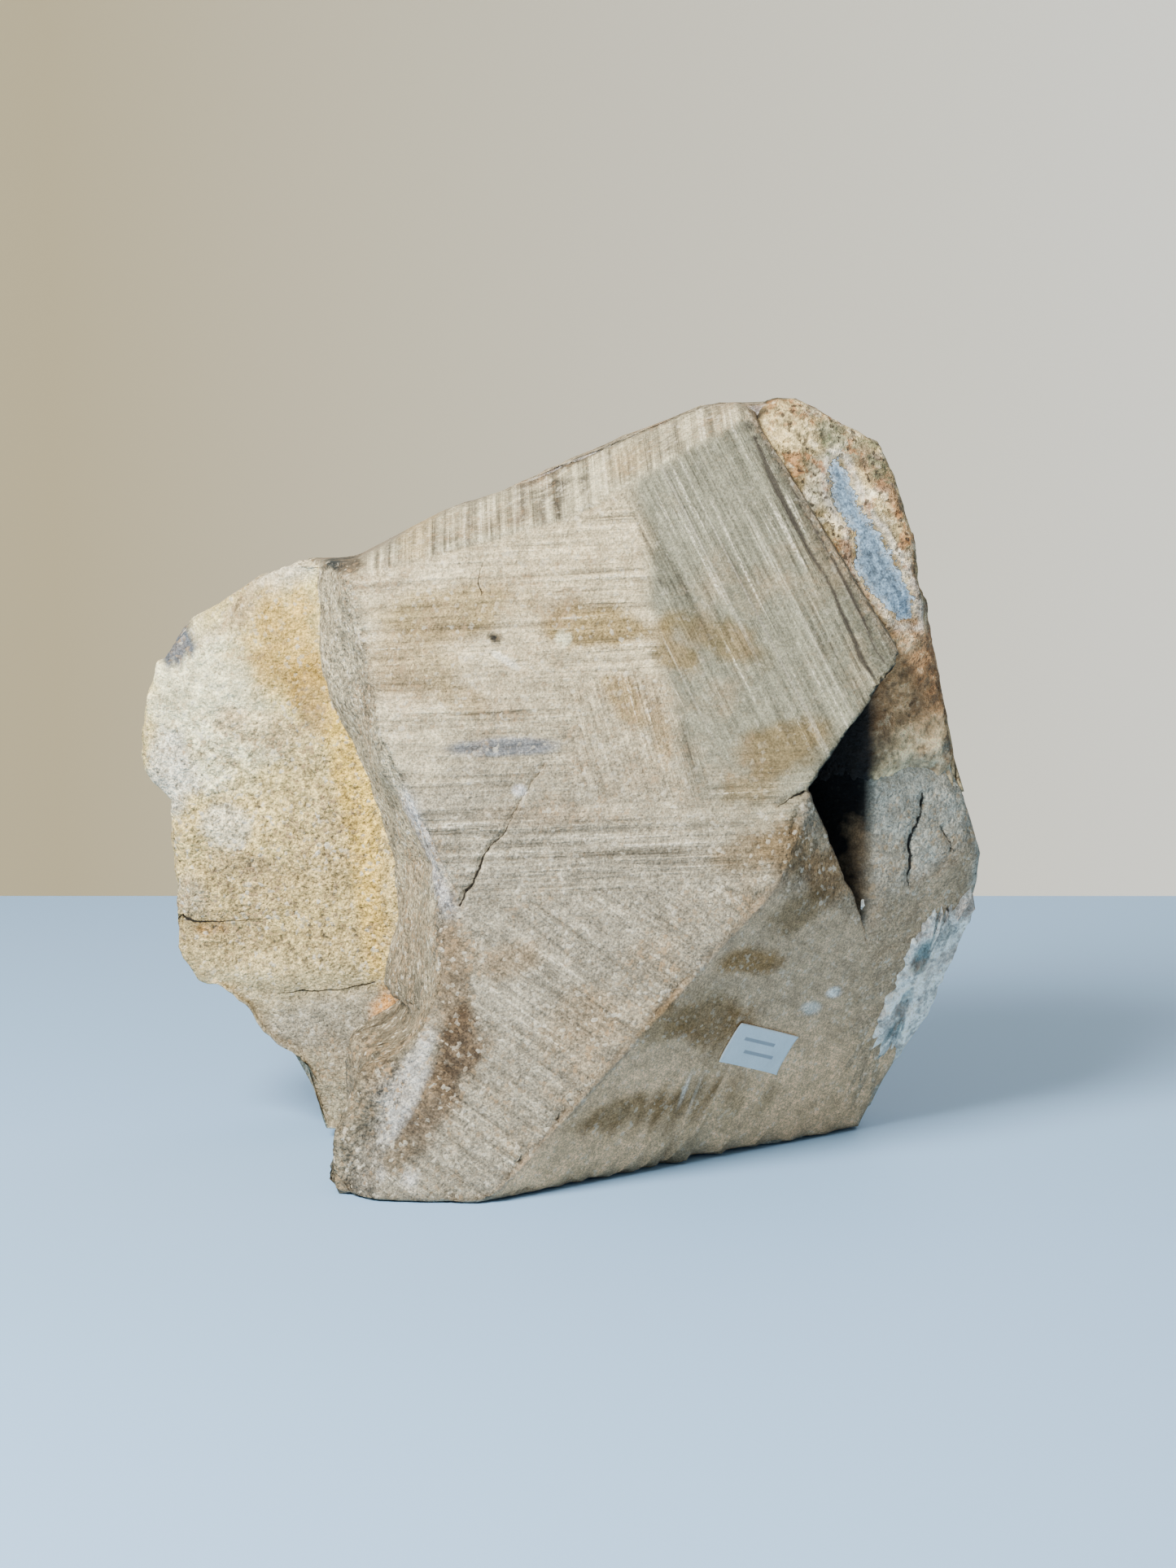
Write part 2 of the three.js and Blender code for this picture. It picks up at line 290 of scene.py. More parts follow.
def blotTint(tint, points, blots, zone=1.0):
    # Each blot is an ellipse, its edge broken up by noise, mixed over the tint by its strength.
    ragged = 0.22 * roughness(points, 7, 2, 21) + 0.20 * roughness(points, 2.6, 2, 25)
    for x, z, length, width, tilt, colour, strength in blots:
        away = np.hypot(*ellipse(points, (x, z), (length, width), tilt)) + ragged
        tint = mixed(tint, paint(*colour), strength * smoothStep(1.2, 0.6, away) * zone)
    return tint


def crackField(points, cracks):
    # Signed distance in the XZ plane to the nearest of the cracks, and that crack's half width there,
    # which falls below zero past its ends.
    side = np.full(points.shape[:-1], 50.0)
    width = np.full(points.shape[:-1], -5.0)
    for crackShade in cracks:
        for (x0, z0, w0), (x1, z1, w1) in zip(crackShade[:-1], crackShade[1:]):
            run = np.array([x1 - x0, z1 - z0])
            length = np.hypot(*run)
            run = run / length
            dx, dz = points[..., 0] - x0, points[..., 2] - z0
            along = dx * run[0] + dz * run[1]
            off = dz * run[0] - dx * run[1]
            past = np.maximum(np.maximum(-along, along - length), 0)
            here = w0 + (w1 - w0) * np.clip(along / length, 0, 1) - past
            closer = (np.hypot(off, past) - here < np.abs(side) - width) & (past < 3)
            side = np.where(closer, off, side)
            width = np.where(closer, here, width)
    return side, width


sawnBlock = ["backLeft", "backRight", "backFoot", "stepUpper", "stepLower", "slabEdge", "lipUpper"]
basalt = {
    # centre, half, skew and wear are in mm; columns run back, right, hidden, left, and rows bottom, wall,
    # top; limits are (axis, sign, place) of level cuts, one list for each body
    "shells": {
        "block": {
            "centre": (10, -8, 80), "half": (62, 32, 78), "wear": 0.55,
            "columns": (150, 78, 16, 66), "rows": (8, 182, 24),
            "bodies": [
                sawnBlock + ["topLeft", "seam"],
                sawnBlock + ["topRight", "seam"],
                ["backLeft", "backRight", "backFoot", "underside", "brokenTip", "lipLower", "footSide",
                 "footBevel", "seam", "basaltAtPatch"],
                ["backLeft", "backFoot", "footBevel", "stepFoot", "seam"],
            ],
            "limits": [
                [(2, -1, 50.0)], [(2, -1, 50.0)], [(2, 1, 88.0)],
                [(2, -1, 33.0), (2, 1, 70.0), (0, 1, -5.0)],
            ],
        },
        "wing": {
            "centre": (-60, 14.3, 72), "half": (34, 4.6, 62), "skew": (-0.13, -0.05), "wear": 0.8,
            "columns": (78, 12, 10, 16), "rows": (5, 132, 6),
            "bodies": [["wing", "wingFoot", "topLeft", "seam"]],
            "limits": [[(0, 1, -20.0)]],
        },
        "shoulder": {
            "centre": (68, 2, 50), "half": (24, 13, 46), "wear": 0.9,
            "columns": (38, 26, 6, 16), "rows": (5, 84, 6),
            "bodies": [
                ["shoulder", "crust", "hollowBack", "innerEdge", "undersideBehind", "seam", "basaltAtPatch"],
            ],
            "limits": [[(2, 1, 88.0)]],
        },
    },
    "tints": {
        "back": (214, 196, 156), "backLow": (168, 156, 130), "backGrey": (131, 128, 107),
        "foot": (158, 149, 128), "under": (197, 166, 129), "turning": (158, 139, 112),
        "top": (207, 197, 163), "step": (188, 174, 142), "stepLow": (150, 139, 114),
        # bevel is the foot's bevel: the stone's own grey, darkened with painted shade
        "bevel": (126, 119, 104), "bruise": (214, 212, 210), "chip": (104, 110, 116),
        "wingTop": (232, 211, 146), "wingMid": (226, 197, 130), "wingLow": (180, 168, 138),
        # hollow is near black: painted shade in the hollow under the slab
        "shoulder": (168, 168, 154), "hollow": (12, 11, 10), "edge": (143, 132, 111),
    },
    "rimChip": {"middle": (-81.7, 106.3), "half": (5.8, 3.1), "tilt": 36, "depth": 0.9},
    # the slanting saw pass starts at this x at this height, and further right by the slope as it goes down
    "slantStart": (14, 142), "slantSlope": 0.2,
    "kinkHeight": 60,             # level saw lines end here and crossing ones begin
    "stripCorner": (40.4, 157),   # upper end of the strip along the slab's right edge
    # lines of (x, z, half width) in the XZ plane, mm
    "cracks": [
        [(-3.3, 86.5, 0.0), (-6.5, 81, 0.03), (-9.4, 76.1, 0.03), (-11, 73, 0.08), (-13.7, 70.5, 0.1),
         (-16.6, 65.3, 0.24), (-18.5, 62, 0.22), (-20.5, 58.2, 0.15)],
        [(-16.3, 126.9, 0.02), (-16.6, 123, 0.1), (-16.2, 119.4, 0.08)],
        [(44.6, 78.3, 0.03), (47.5, 80.6, 0.12), (50.4, 81.9, 0.3)],
        [(76.5, 78.2, 0.1), (76.3, 75, 0.25), (75.7, 72.2, 0.2), (73.8, 67.5, 0.26), (74.4, 62, 0.2),
         (73.6, 57.5, 0.05)],
        [(80.8, 70.8, 0.03), (83.4, 64.9, 0.1)],
        [(-82.5, 47.4, 0.4), (-78, 46.6, 0.22), (-73, 46.9, 0.12), (-63, 48.3, 0.03)],
        [(-62, 31.5, 0.05), (-55, 32.6, 0.14), (-48, 33.2, 0.1), (-40, 35.2, 0.12)],
    ],
    "grooves": [
        [(38.2, 157.3, 0.1), (44.6, 144, 0.75), (54.6, 124.5, 0.3), (62.6, 108.5, 0.6), (65.6, 103, 0.1)],
        [(43, 155.4, 0.0), (50.6, 140, 0.25), (58.6, 123.5, 0.45), (67, 107.5, 0.2)],
    ],
    # blots: x and z of the middle, two half axes, tilt, colour, strength
    "backBlots": [
        (-36, 112, 18, 34, 0, (244, 226, 184), 0.5), (-24, 116, 17, 6, 3, (158, 136, 88), 0.8),
        (-30, 106, 10, 7, -8, (158, 136, 90), 0.65), (-20, 99, 6, 3, -20, (154, 132, 90), 0.6),
        (8, 114, 14, 4.5, -4, (146, 122, 74), 0.85), (14, 99, 3.5, 7, 30, (152, 128, 78), 0.75),
        (21, 92, 2, 8, 14, (146, 122, 80), 0.6), (-11, 89.6, 12, 1.9, 3, (106, 112, 120), 0.8),
        (33, 112, 11, 4.2, -24, (116, 101, 66), 0.8), (24, 108, 6, 3, -20, (122, 104, 64), 0.75),
        (45, 90, 11, 5, 20, (116, 98, 62), 0.8), (39, 82, 6, 4, 0, (122, 104, 68), 0.65),
        (-13.3, 111.4, 1.9, 1.5, 0, (40, 38, 34), 0.98), (1, 111.4, 1.6, 1.3, 0, (246, 238, 196), 0.95),
        (21, 122.5, 0.9, 0.8, 0, (44, 40, 38), 0.95), (-11, 107, 3.6, 0.8, -30, (238, 230, 206), 0.8),
        (-38, 122, 7, 1.2, 14, (96, 90, 80), 0.5), (-8, 81, 1.6, 1.2, 0, (228, 226, 222), 0.8),
        (-4, 76, 14, 2.5, 2, (148, 130, 104), 0.5), (-21.5, 43, 11, 4.2, 86, (98, 80, 58), 0.7),
        (-20.5, 29, 9, 5.5, 72, (84, 65, 45), 0.88), (-26.5, 18, 10, 4.8, 56, (92, 74, 54), 0.8),
        (-32.5, 9, 6, 2.6, 55, (108, 90, 66), 0.6), (-22, 51, 4, 3, 75, (100, 82, 60), 0.6),
        # the blot at x -30.4, z 23 is a painted highlight along the lit ridge of the foot
        (-30.4, 23, 12, 3.0, 66, (212, 212, 206), 0.62), (-33, 5, 5, 0.9, -8, (222, 220, 212), 0.8),
        (-10, 47, 7, 4, 20, (150, 126, 92), 0.55), (4, 36, 10, 6, 30, (148, 128, 98), 0.5),
        (46, 70, 6, 8, 30, (122, 98, 64), 0.8), (39, 70, 9, 4, 20, (118, 98, 66), 0.65),
    ],
    "topBlots": [
        # the first blot is painted shade: the dark notch between the wing's top and the block
        (-46, 125.4, 5, 1.5, 5, (50, 56, 56), 0.95), (-30, 131, 4, 9, 0, (196, 170, 118), 0.5),
        (-8, 141, 1.6, 9, 0, (112, 102, 88), 0.85), (-3.5, 142, 0.9, 9, 0, (98, 90, 78), 0.85),
        (0, 144, 1.6, 9, 0, (84, 78, 68), 0.9), (5, 146, 1, 8, 0, (94, 88, 76), 0.85),
        (-19, 136, 1, 8, 0, (128, 118, 102), 0.7), (-36, 128, 1, 6, 0, (150, 140, 120), 0.6),
        (23, 152, 1, 8, 0, (120, 112, 98), 0.7), (14, 147, 6, 3, 20, (200, 176, 128), 0.5),
    ],
    "underBlots": [
        (40, 46, 8, 3.4, -8, (140, 106, 62), 0.9), (31, 34, 11, 6.5, -16, (128, 92, 48), 0.95),
        (22, 35, 7, 5, 10, (134, 104, 64), 0.75), (20, 15.5, 18, 4.4, 3, (126, 94, 52), 0.9),
        (38, 13, 10, 2.6, 3, (146, 120, 82), 0.7), (55, 63, 5, 6, 20, (126, 94, 56), 0.85),
        (49, 56, 7, 5, 30, (124, 98, 62), 0.75), (27.2, 18, 1.6, 1.4, 0, (250, 238, 218), 0.98),
        (57.9, 35.7, 1.8, 1.4, 0, (242, 236, 222), 0.9), (52.8, 32.8, 2.4, 1.8, 0, (234, 226, 208), 0.8),
    ],
    "wingBlots": [
        (-76, 96, 15, 20, 30, (255, 246, 200), 0.85), (-84, 80, 6, 10, 0, (234, 230, 212), 0.7),
        (-59, 107, 10, 14, 14, (210, 170, 86), 0.85), (-53, 98, 6, 10, 14, (212, 168, 80), 0.75),
        (-66, 90, 11, 4, -10, (226, 196, 138), 0.6), (-58, 124, 9, 1.8, 25, (240, 230, 204), 0.7),
        (-70, 113, 10, 2.6, 38, (212, 188, 148), 0.55), (-71, 92, 4.5, 3, 0, (204, 178, 138), 0.5),
        (-44, 76, 4.4, 26, 8, (240, 198, 96), 0.9), (-40, 48, 3, 13, 4, (232, 192, 100), 0.8),
        (-76, 45.6, 4, 1, -8, (206, 150, 66), 0.95), (-72, 68, 6, 5, 0, (226, 220, 196), 0.6),
        (-68, 60, 9, 3, -10, (194, 168, 124), 0.5), (-52, 60, 9, 5, 10, (206, 176, 122), 0.5),
        # the blot at x -46, z 123.6 is painted shade: the dark notch at the wing's top beside the block
        (-80, 52, 4, 5, 10, (200, 188, 158), 0.6), (-46, 123.6, 5.2, 2.4, 6, (48, 58, 60), 0.98),
        (-50, 25, 20, 8, 10, (168, 158, 136), 0.8), (-37.5, 29, 2.2, 6.5, -6, (232, 166, 92), 0.95),
    ],
}
stoneTints = {name: paint(*colour) for name, colour in basalt["tints"].items()}

# The saw's passes over the stone: the direction in the XZ plane across which each pass's lines follow
# one another.
sawPasses = {
    "level": (-0.05, 1.0), "slant": (0.893, 0.451), "steep": (0.96, 0.28), "cross": (0.55, 0.83),
    "upright": (1.0, 0.1),
}


def sawRun(x, z, across, drawnOut):
    # Coordinates that run full speed across a pass's lines and drawnOut times slower along them.
    ax, az = across
    return np.stack([ax * x + az * z, (az * x - ax * z) / drawnOut, 0 * x], -1)


def pastSlant(x, z):
    # How far a point lies to the right of where the slanting saw pass starts, mm.
    startX, startZ = basalt["slantStart"]
    return x - startX - (startZ - z) * basalt["slantSlope"]


def sawForces(points, weights):
    # How strongly each pass shows: by flat and by place, with smooth and slightly wavering borders.
    x, z = points[..., 0], points[..., 2]
    sway = 2.2 * latticeNoise(points, 10, 31) + 0.8 * latticeNoise(points, 3, 33)
    back = weights["backLeft"] + weights["backRight"]
    right = smoothStep(-1.2, 1.2, pastSlant(x, z) + sway)
    right *= smoothStep(-5, 5, z + 2 * sway - 96 + 0.3 * (x - 20))
    patch = smoothStep(-2, 2, x + sway - 3) * smoothStep(2, -2, x + sway - 31) * (1 - right)
    patch *= smoothStep(-3, 3, z + sway - 79) * smoothStep(3, -3, z + sway - 103)
    streak = 0.55 + 0.45 * smoothStep(-0.3, 0.5, roughness(points * (0.25, 1, 1), 7, 2, 35))
    kink = z - basalt["kinkHeight"] - 0.11 * x + 0.4 * sway
    deep = 0.35 * band(kink, 6, 4.5) * smoothStep(-22, -16, x) * smoothStep(40, 32, x)
    aboveKink = smoothStep(-2, 2.5, kink)
    sawn = back + weights["backFoot"]
    return {
        "level": sawn * (1 - right) * (1 - 0.85 * patch) * (streak + deep) * aboveKink,
        "slant": back * right * (0.4 + 0.4 * streak),
        "steep": back * patch,
        "cross": 0.6 * sawn * (1 - aboveKink) + 0.2 * weights["underside"],
        "upright": weights["topLeft"] + weights["topRight"],
    }


def finishBlock(points, weights, edge, marks):
    # The sawn block. Gives how far it is carved, its tint and its grain at each point.
    x, z = points[..., 0], points[..., 2]
    broad, fine, chips, forces = marks
    back = weights["backLeft"] + weights["backRight"]
    foot, under, bevel, rim = (weights[name] for name in ("backFoot", "underside", "footBevel", "rim"))
    top = weights["topLeft"] + weights["topRight"]
    step = weights["stepUpper"] + weights["stepLower"] + weights["stepFoot"] + weights["footSide"]
    hollow = weights["lipUpper"] + weights["lipLower"]
    broken = weights["brokenTip"] + weights["slabEdge"]
    hidden = rim + weights["ground"] + weights["seam"] + weights["basaltAtPatch"]
    greyer = smoothStep(-2, 3, pastSlant(x, z) + 2 * broad) * smoothStep(66, 92, z + 3 * broad)
    grain = 0.35 * back + 0.5 * foot + 0.15 * under + 0.3 * top + 0.8 * step + 0.9 * bevel + 0.6 * broken
    grain = grain - 0.35 * hollow - 0.42 * back * greyer
    lines = sum(
        force * latticeNoise(sawRun(x, z, across, 40), 1.6, 41)
        for across, force in zip(sawPasses.values(), forces.values())
    )
    # carving: the strip along the slab's right edge, the scooped step with its lumpy toe, the chipped edges
    pastEdge = np.stack([x, z], -1) - basalt["stripCorner"]
    edgeLine = pastEdge @ sawPasses["slant"] + 0.4 * broad
    strip = smoothStep(-2.6, -0.8, edgeLine) * smoothStep(100, 108, z) * weights["backRight"]
    wavy = np.sin(np.clip((z - 60) / 60, 0, 1) * math.pi) + 1.3 * roughness(points, 16, 3, 17)
    toe = weights["footSide"] * smoothStep(32, 20, z)
    lump = 2.4 + 3.2 * smoothStep(3, 12, z) + 2.4 * roughness(points, 8, 3, 19)
    bites = smoothStep(-0.2, 0.8, roughness(points, 8, 3, 23))
    awayFromLabel = 1 - 0.85 * np.exp(-(np.linalg.norm(points - labelPlace, axis=-1) / 13) ** 4)
    carve = (
        0.28 * broad * (0.6 + 2 * hollow + bevel) + 0.26 * grain * fine + 0.14 * lines
        - strip * (0.4 + 0.7 * chips) - step * wavy + toe * lump
        - edge * (0.25 + 1.3 * chips + 0.2 * fine) - 2.2 * edge * step * bites
    ) * awayFromLabel
    # tints by flat; the underside takes another where it turns into the back
    gaps = [reach - (points - heart) @ normal for normal, reach in map(flatOf, ("backFoot", "backRight"))]
    turning = under * smoothStep(2.0, 0.4, np.minimum(*gaps) + 0.9 * broad)
    lit = 1 + np.array([0.42, 0.34, 0.26]) * smoothStep(40, 14, z)[..., None]
    # the back runs darker towards the bottom right: partly the stone's own tone, partly painted shade where
    # the light falls off
    low = smoothStep(118, 70, z + 0.25 * x + 4 * broad)
    backTint = mixed(mixed(stoneTints["back"], stoneTints["backLow"], low), stoneTints["backGrey"], greyer)
    stepTint = mixed(stoneTints["step"], stoneTints["stepLow"], smoothStep(56, 24, z))
    # painted shade: the lip walls of the hollow take a near-black tint
    plain = {"foot": foot, "turning": turning, "top": top, "bevel": bevel, "hollow": hollow}
    plain["edge"] = broken + hidden
    # the foot's bevel takes a darker, greyer tint: partly the stone's grey and partly painted shade
    tint = sum(share[..., None] * stoneTints[name] for name, share in plain.items())
    tint = tint + back[..., None] * backTint + (under - turning)[..., None] * stoneTints["under"] * lit
    tint = tint + step[..., None] * stepTint
    for blots, zone in (
        ("backBlots", back + foot + bevel + broken),
        ("underBlots", under + broken),
        ("topBlots", top + step + rim),
    ):
        tint = blotTint(tint, points, basalt[blots], np.clip(zone, 0, 1))
    shadow = smoothStep(-0.3, 0.5, roughness(points, 5, 4, 39)) + 0.5 * smoothStep(62, 34, z)
    bruise = band(x + 31 - 0.42 * (78 - z) + 0.8 * broad, 0, 1.8)
    bruise = bruise * smoothStep(54, 60, z) * smoothStep(84, 76, z)
    tint = mixed(tint * (1 - 0.3 * step * shadow)[..., None], stoneTints["bruise"], 0.8 * bruise)
    shade = smoothStep(0.2, 0.8, roughness(points * (1, 1, 0.4), 5, 2, 37))
    stripes = latticeNoise(sawRun(x, z, sawPasses["slant"], 60), 4.5, 44)
    darker = (1 - 0.3 * strip - 0.22 * edge - 0.3 * edge * chips) * (1 - 0.3 * forces["upright"] * shade)
    darker = darker * (1 + 0.24 * smoothStep(0, 0.3, forces["slant"]) * stripes)
    return carve, tint * darker[..., None], grain


def finishWing(points, weights, edge, marks):
    # The rough wing at the left, with its ledges and the chip out of its rim.
    x, z = points[..., 0], points[..., 2]
    broad, fine, chips, _ = marks
    chip = basalt["rimChip"]
    chipAt = np.maximum(*np.abs(ellipse(points, chip["middle"], chip["half"], chip["tilt"]))) + 0.25 * broad
    inChip = smoothStep(1.15, 0.8, chipAt)
    ledge = smoothStep(-1.5, 1.5, 32.5 - z + 0.09 * (x + 60) + 2.5 * broad)
    raised = smoothStep(-0.8, 0.8, z - 47 - 0.09 * (x + 70) + 1.5 * broad) * smoothStep(-58, -72, x)
    underBevel = (weights["topLeft"] + weights["rim"]) * smoothStep(-49, -45, x) * smoothStep(95, 105, z)
    carve = (
        0.8 * roughness(points, 15, 4, 5) + 0.38 * fine - 2.0 * ledge + raised - 0.5 * edge * (1 + chips)
        + 0.5 * roughness(points * (0.3, 1, 1), 5, 2, 7) * smoothStep(95, 60, z)
        + 1.1 * weights["rim"] * roughness(points, 7, 3, 15) - chip["depth"] * inChip - 2.5 * underBevel
    )
    tint = mixed(stoneTints["wingMid"], stoneTints["wingTop"], smoothStep(60, 100, z))
    tint = mixed(tint, stoneTints["wingLow"], smoothStep(50, 20, z))
    tint = blotTint(tint, points, basalt["wingBlots"]) * (1 + 0.14 * broad - 0.14 * ledge)[..., None]
    tint = mixed(tint, stoneTints["chip"] * (1 + 0.35 * fine[..., None]), inChip)
    grain = 0.85 - 0.3 * smoothStep(70, 105, z) - 0.3 * smoothStep(46, 30, z) - 0.2 * weights["topLeft"]
    return carve, tint, grain


def finishShoulder(points, weights, edge, marks):
    # The stone behind the hollow, sunk at its top under the crust.
    broad, fine, chips, _ = marks
    sunk = smoothStep(78, 84, points[..., 2] + 3 * broad) * (1 - weights["hollowBack"])
    carve = 0.5 * broad + 0.15 * fine - 0.5 * edge * (1 + chips) - 2.0 * sunk
    hollow = weights["hollowBack"] + weights["innerEdge"]
    # painted shade: the hollow's back and inner edge take a near-black tint
    tint = mixed(stoneTints["shoulder"], stoneTints["hollow"], hollow)
    tint = mixed(tint, stoneTints["under"], weights["undersideBehind"])
    tint = blotTint(tint, points, basalt["underBlots"], weights["undersideBehind"])
    return carve, tint * (1 - 0.35 * edge * chips)[..., None], 0.45 - 0.7 * hollow


def finishBasalt(key, points, normals, weights, edge):
    # Carves a shell along its normals and paints it, cuts the cracks and grooves, and gives the looks that
    # the material reads: tint, grain, distances to cracks and grooves, and the force of each saw pass.
    zero = np.zeros(edge.shape)
    free = 1 - np.clip(weights["seam"] * 1.5, 0, 1)
    broad, fine = roughness(points, 11, 3, 3), roughness(points, 2.1, 3, 8)
    chips = smoothStep(-0.1, 0.9, roughness(points, 4.5, 3, 12))
    forces = sawForces(points, weights) if key == "block" else {name: zero for name in sawPasses}
    finish = {"block": finishBlock, "wing": finishWing, "shoulder": finishShoulder}[key]
    carve, tint, grain = finish(points, weights, edge, (broad, fine, chips, forces))
    side, width = crackField(points + 0.6 * np.stack([fine, fine, broad], -1), basalt["cracks"])
    opening = np.maximum(width, 0.02) + 0.55
    depth = 1.4 * np.clip(1 - np.abs(side) / opening, 0, 1) * smoothStep(-0.2, 0.2, width)
    grooveSides, grooveWidths = [zero, zero, zero], [zero - 3, zero - 3, zero]
    if key == "block":
        for index, groove in enumerate(basalt["grooves"]):
            grooveSides[index], grooveWidth = crackField(points + 0.5 * broad[..., None], [groove])
            grooveWidths[index] = np.where(weights["backRight"] > 0.3, grooveWidth, -3)
            depth = depth + 0.5 * smoothStep(-0.7, 0.3, grooveWidths[index] - np.abs(grooveSides[index]))
    points = points + normals * ((carve - depth) * free)[..., None]
    return points, {
        "tint": tint, "grain": grain * free, "crackSide": side, "crackWidth": width,
        "sawnOne": np.stack([forces["level"], forces["slant"], forces["steep"]], -1),
        "sawnTwo": np.stack([forces["cross"], forces["upright"], zero], -1),
        "grooveSides": np.stack(grooveSides, -1), "grooveWidths": np.stack(grooveWidths, -1),
    }


class Signal:
    # What one socket of a material's tree gives. Sums, differences and products make Math nodes.

    def __init__(self, socket):
        self.socket = socket
        self.tree = socket.id_data

    def calc(self, operation, other=0.0):
        return addNode(self.tree, "Math", {0: self, 1: other}, operation=operation)

    def __add__(self, other):
        return self.calc("ADD", other)

    __radd__ = __add__

    def __sub__(self, other):
        return self.calc("SUBTRACT", other)

    def __mul__(self, other):
        return self.calc("MULTIPLY", other)

    __rmul__ = __mul__

    def __abs__(self):
        return self.calc("ABSOLUTE")

    def parts(self):
        # Its three components.
        first = addNode(self.tree, "SeparateXYZ", {0: self})
        return [Signal(socket) for socket in first.socket.node.outputs]

    def remap(self, low, high, newLow=0.0, newHigh=1.0):
        # Taken from low..high to newLow..newHigh, and held between those.
        inputs = {"Value": self, "From Min": low, "From Max": high, "To Min": newLow, "To Max": newHigh}
        return addNode(self.tree, "MapRange", inputs, clamp=True)

    def blend(self, first, second):
        # The first colour where this is 0, the second where it is 1.
        return addNode(self.tree, "Mix", {0: self, 6: first, 7: second}, 2, data_type="RGBA")

    def tone(self, colour, low, high, least, most):
        # A colour multiplied by this, taken from low..high to least..most.
        inputs = {0: 1.0, 6: colour, 7: self.remap(low, high, least, most)}
        return addNode(self.tree, "Mix", inputs, 2, data_type="RGBA", blend_type="MULTIPLY")

    def noise(self, scale, detail, rough):
        inputs = {"Vector": self, "Scale": scale, "Detail": detail, "Roughness": rough}
        return addNode(self.tree, "TexNoise", inputs)


def linear(colour):
    return (*paint(*colour), 1.0)


def feed(node, inputs):
    # Each input gets a signal, a plain value, or a screen colour of three numbers.
    for key, value in inputs.items():
        socket = node.inputs[key]
        if isinstance(value, Signal):
            value.tree.links.new(value.socket, socket)
        else:
            socket.default_value = linear(value) if socket.type == "RGBA" else value


def addNode(tree, kind, inputs, output=0, **settings):
    # A node with its settings and inputs; gives the signal of one of its outputs.
    node = tree.nodes.new("ShaderNode" + kind)
    for key, value in settings.items():
        setattr(node, key, value)
    feed(node, inputs)
    return Signal(node.outputs[output])


def readAttributes(tree, output, *names):
    # Point attributes of the mesh: "Fac" gives one number each, "Vector" three.
    return [addNode(tree, "Attribute", {}, output, attribute_name=name) for name in names]


def newMaterial(name):
    # A material with its tree and the object's coordinates.
    material = bpy.data.materials.new(name)
    material.use_nodes = True
    return material, material.node_tree, addNode(material.node_tree, "TexCoord", {}, "Object")


def dress(material, values, height=None, strength=1.0, bumpDistance=0.001):
    # Feeds the material's shader, with a bump of the given height if there is one.
    if height:
        inputs = {"Height": height, "Strength": strength, "Distance": bumpDistance}
        values = values | {"Normal": addNode(material.node_tree, "Bump", inputs)}
    feed(material.node_tree.nodes["Principled BSDF"], values)
    return material


def sawLines(place, across, perMm, drawnOut):
    # Noise drawn out along a saw pass: fast across its lines and slow along them.
    ax, az = (part * perMm / mm for part in across)
    over, down = (
        addNode(place.tree, "VectorMath", {0: place, 1: direction}, "Value", operation="DOT_PRODUCT")
        for direction in ((ax, 0, az), (az / drawnOut, 0, -ax / drawnOut))
    )
    return addNode(place.tree, "CombineXYZ", {0: over, 1: down}).noise(1.0, 4.0, 0.65)


basaltFinish = {
    # noises: scale per metre, octaves, roughness
    "clouds": (55, 4.0, 0.6), "mottle": (300, 5.0, 0.7), "coarse": (900, 3.0, 0.75),
    "grit": (1500, 3.0, 0.75), "fine": (2400, 2.0, 0.7),
    "cells": 1250, "linesPerMm": 0.8, "drawnOut": 34, "scratches": (0.62, 130),
    "warm": (190, 162, 122), "pale": (230, 220, 196), "tan": (176, 146, 106), "dark": (84, 76, 64),
    # the crack and groove colours are painted shade inside them
    "crackShade": (28, 24, 20), "groove": (56, 50, 44),
    "shader": {"Roughness": 0.93, "Specular IOR Level": 0.25}, "bumpDistance": 0.0012,
}


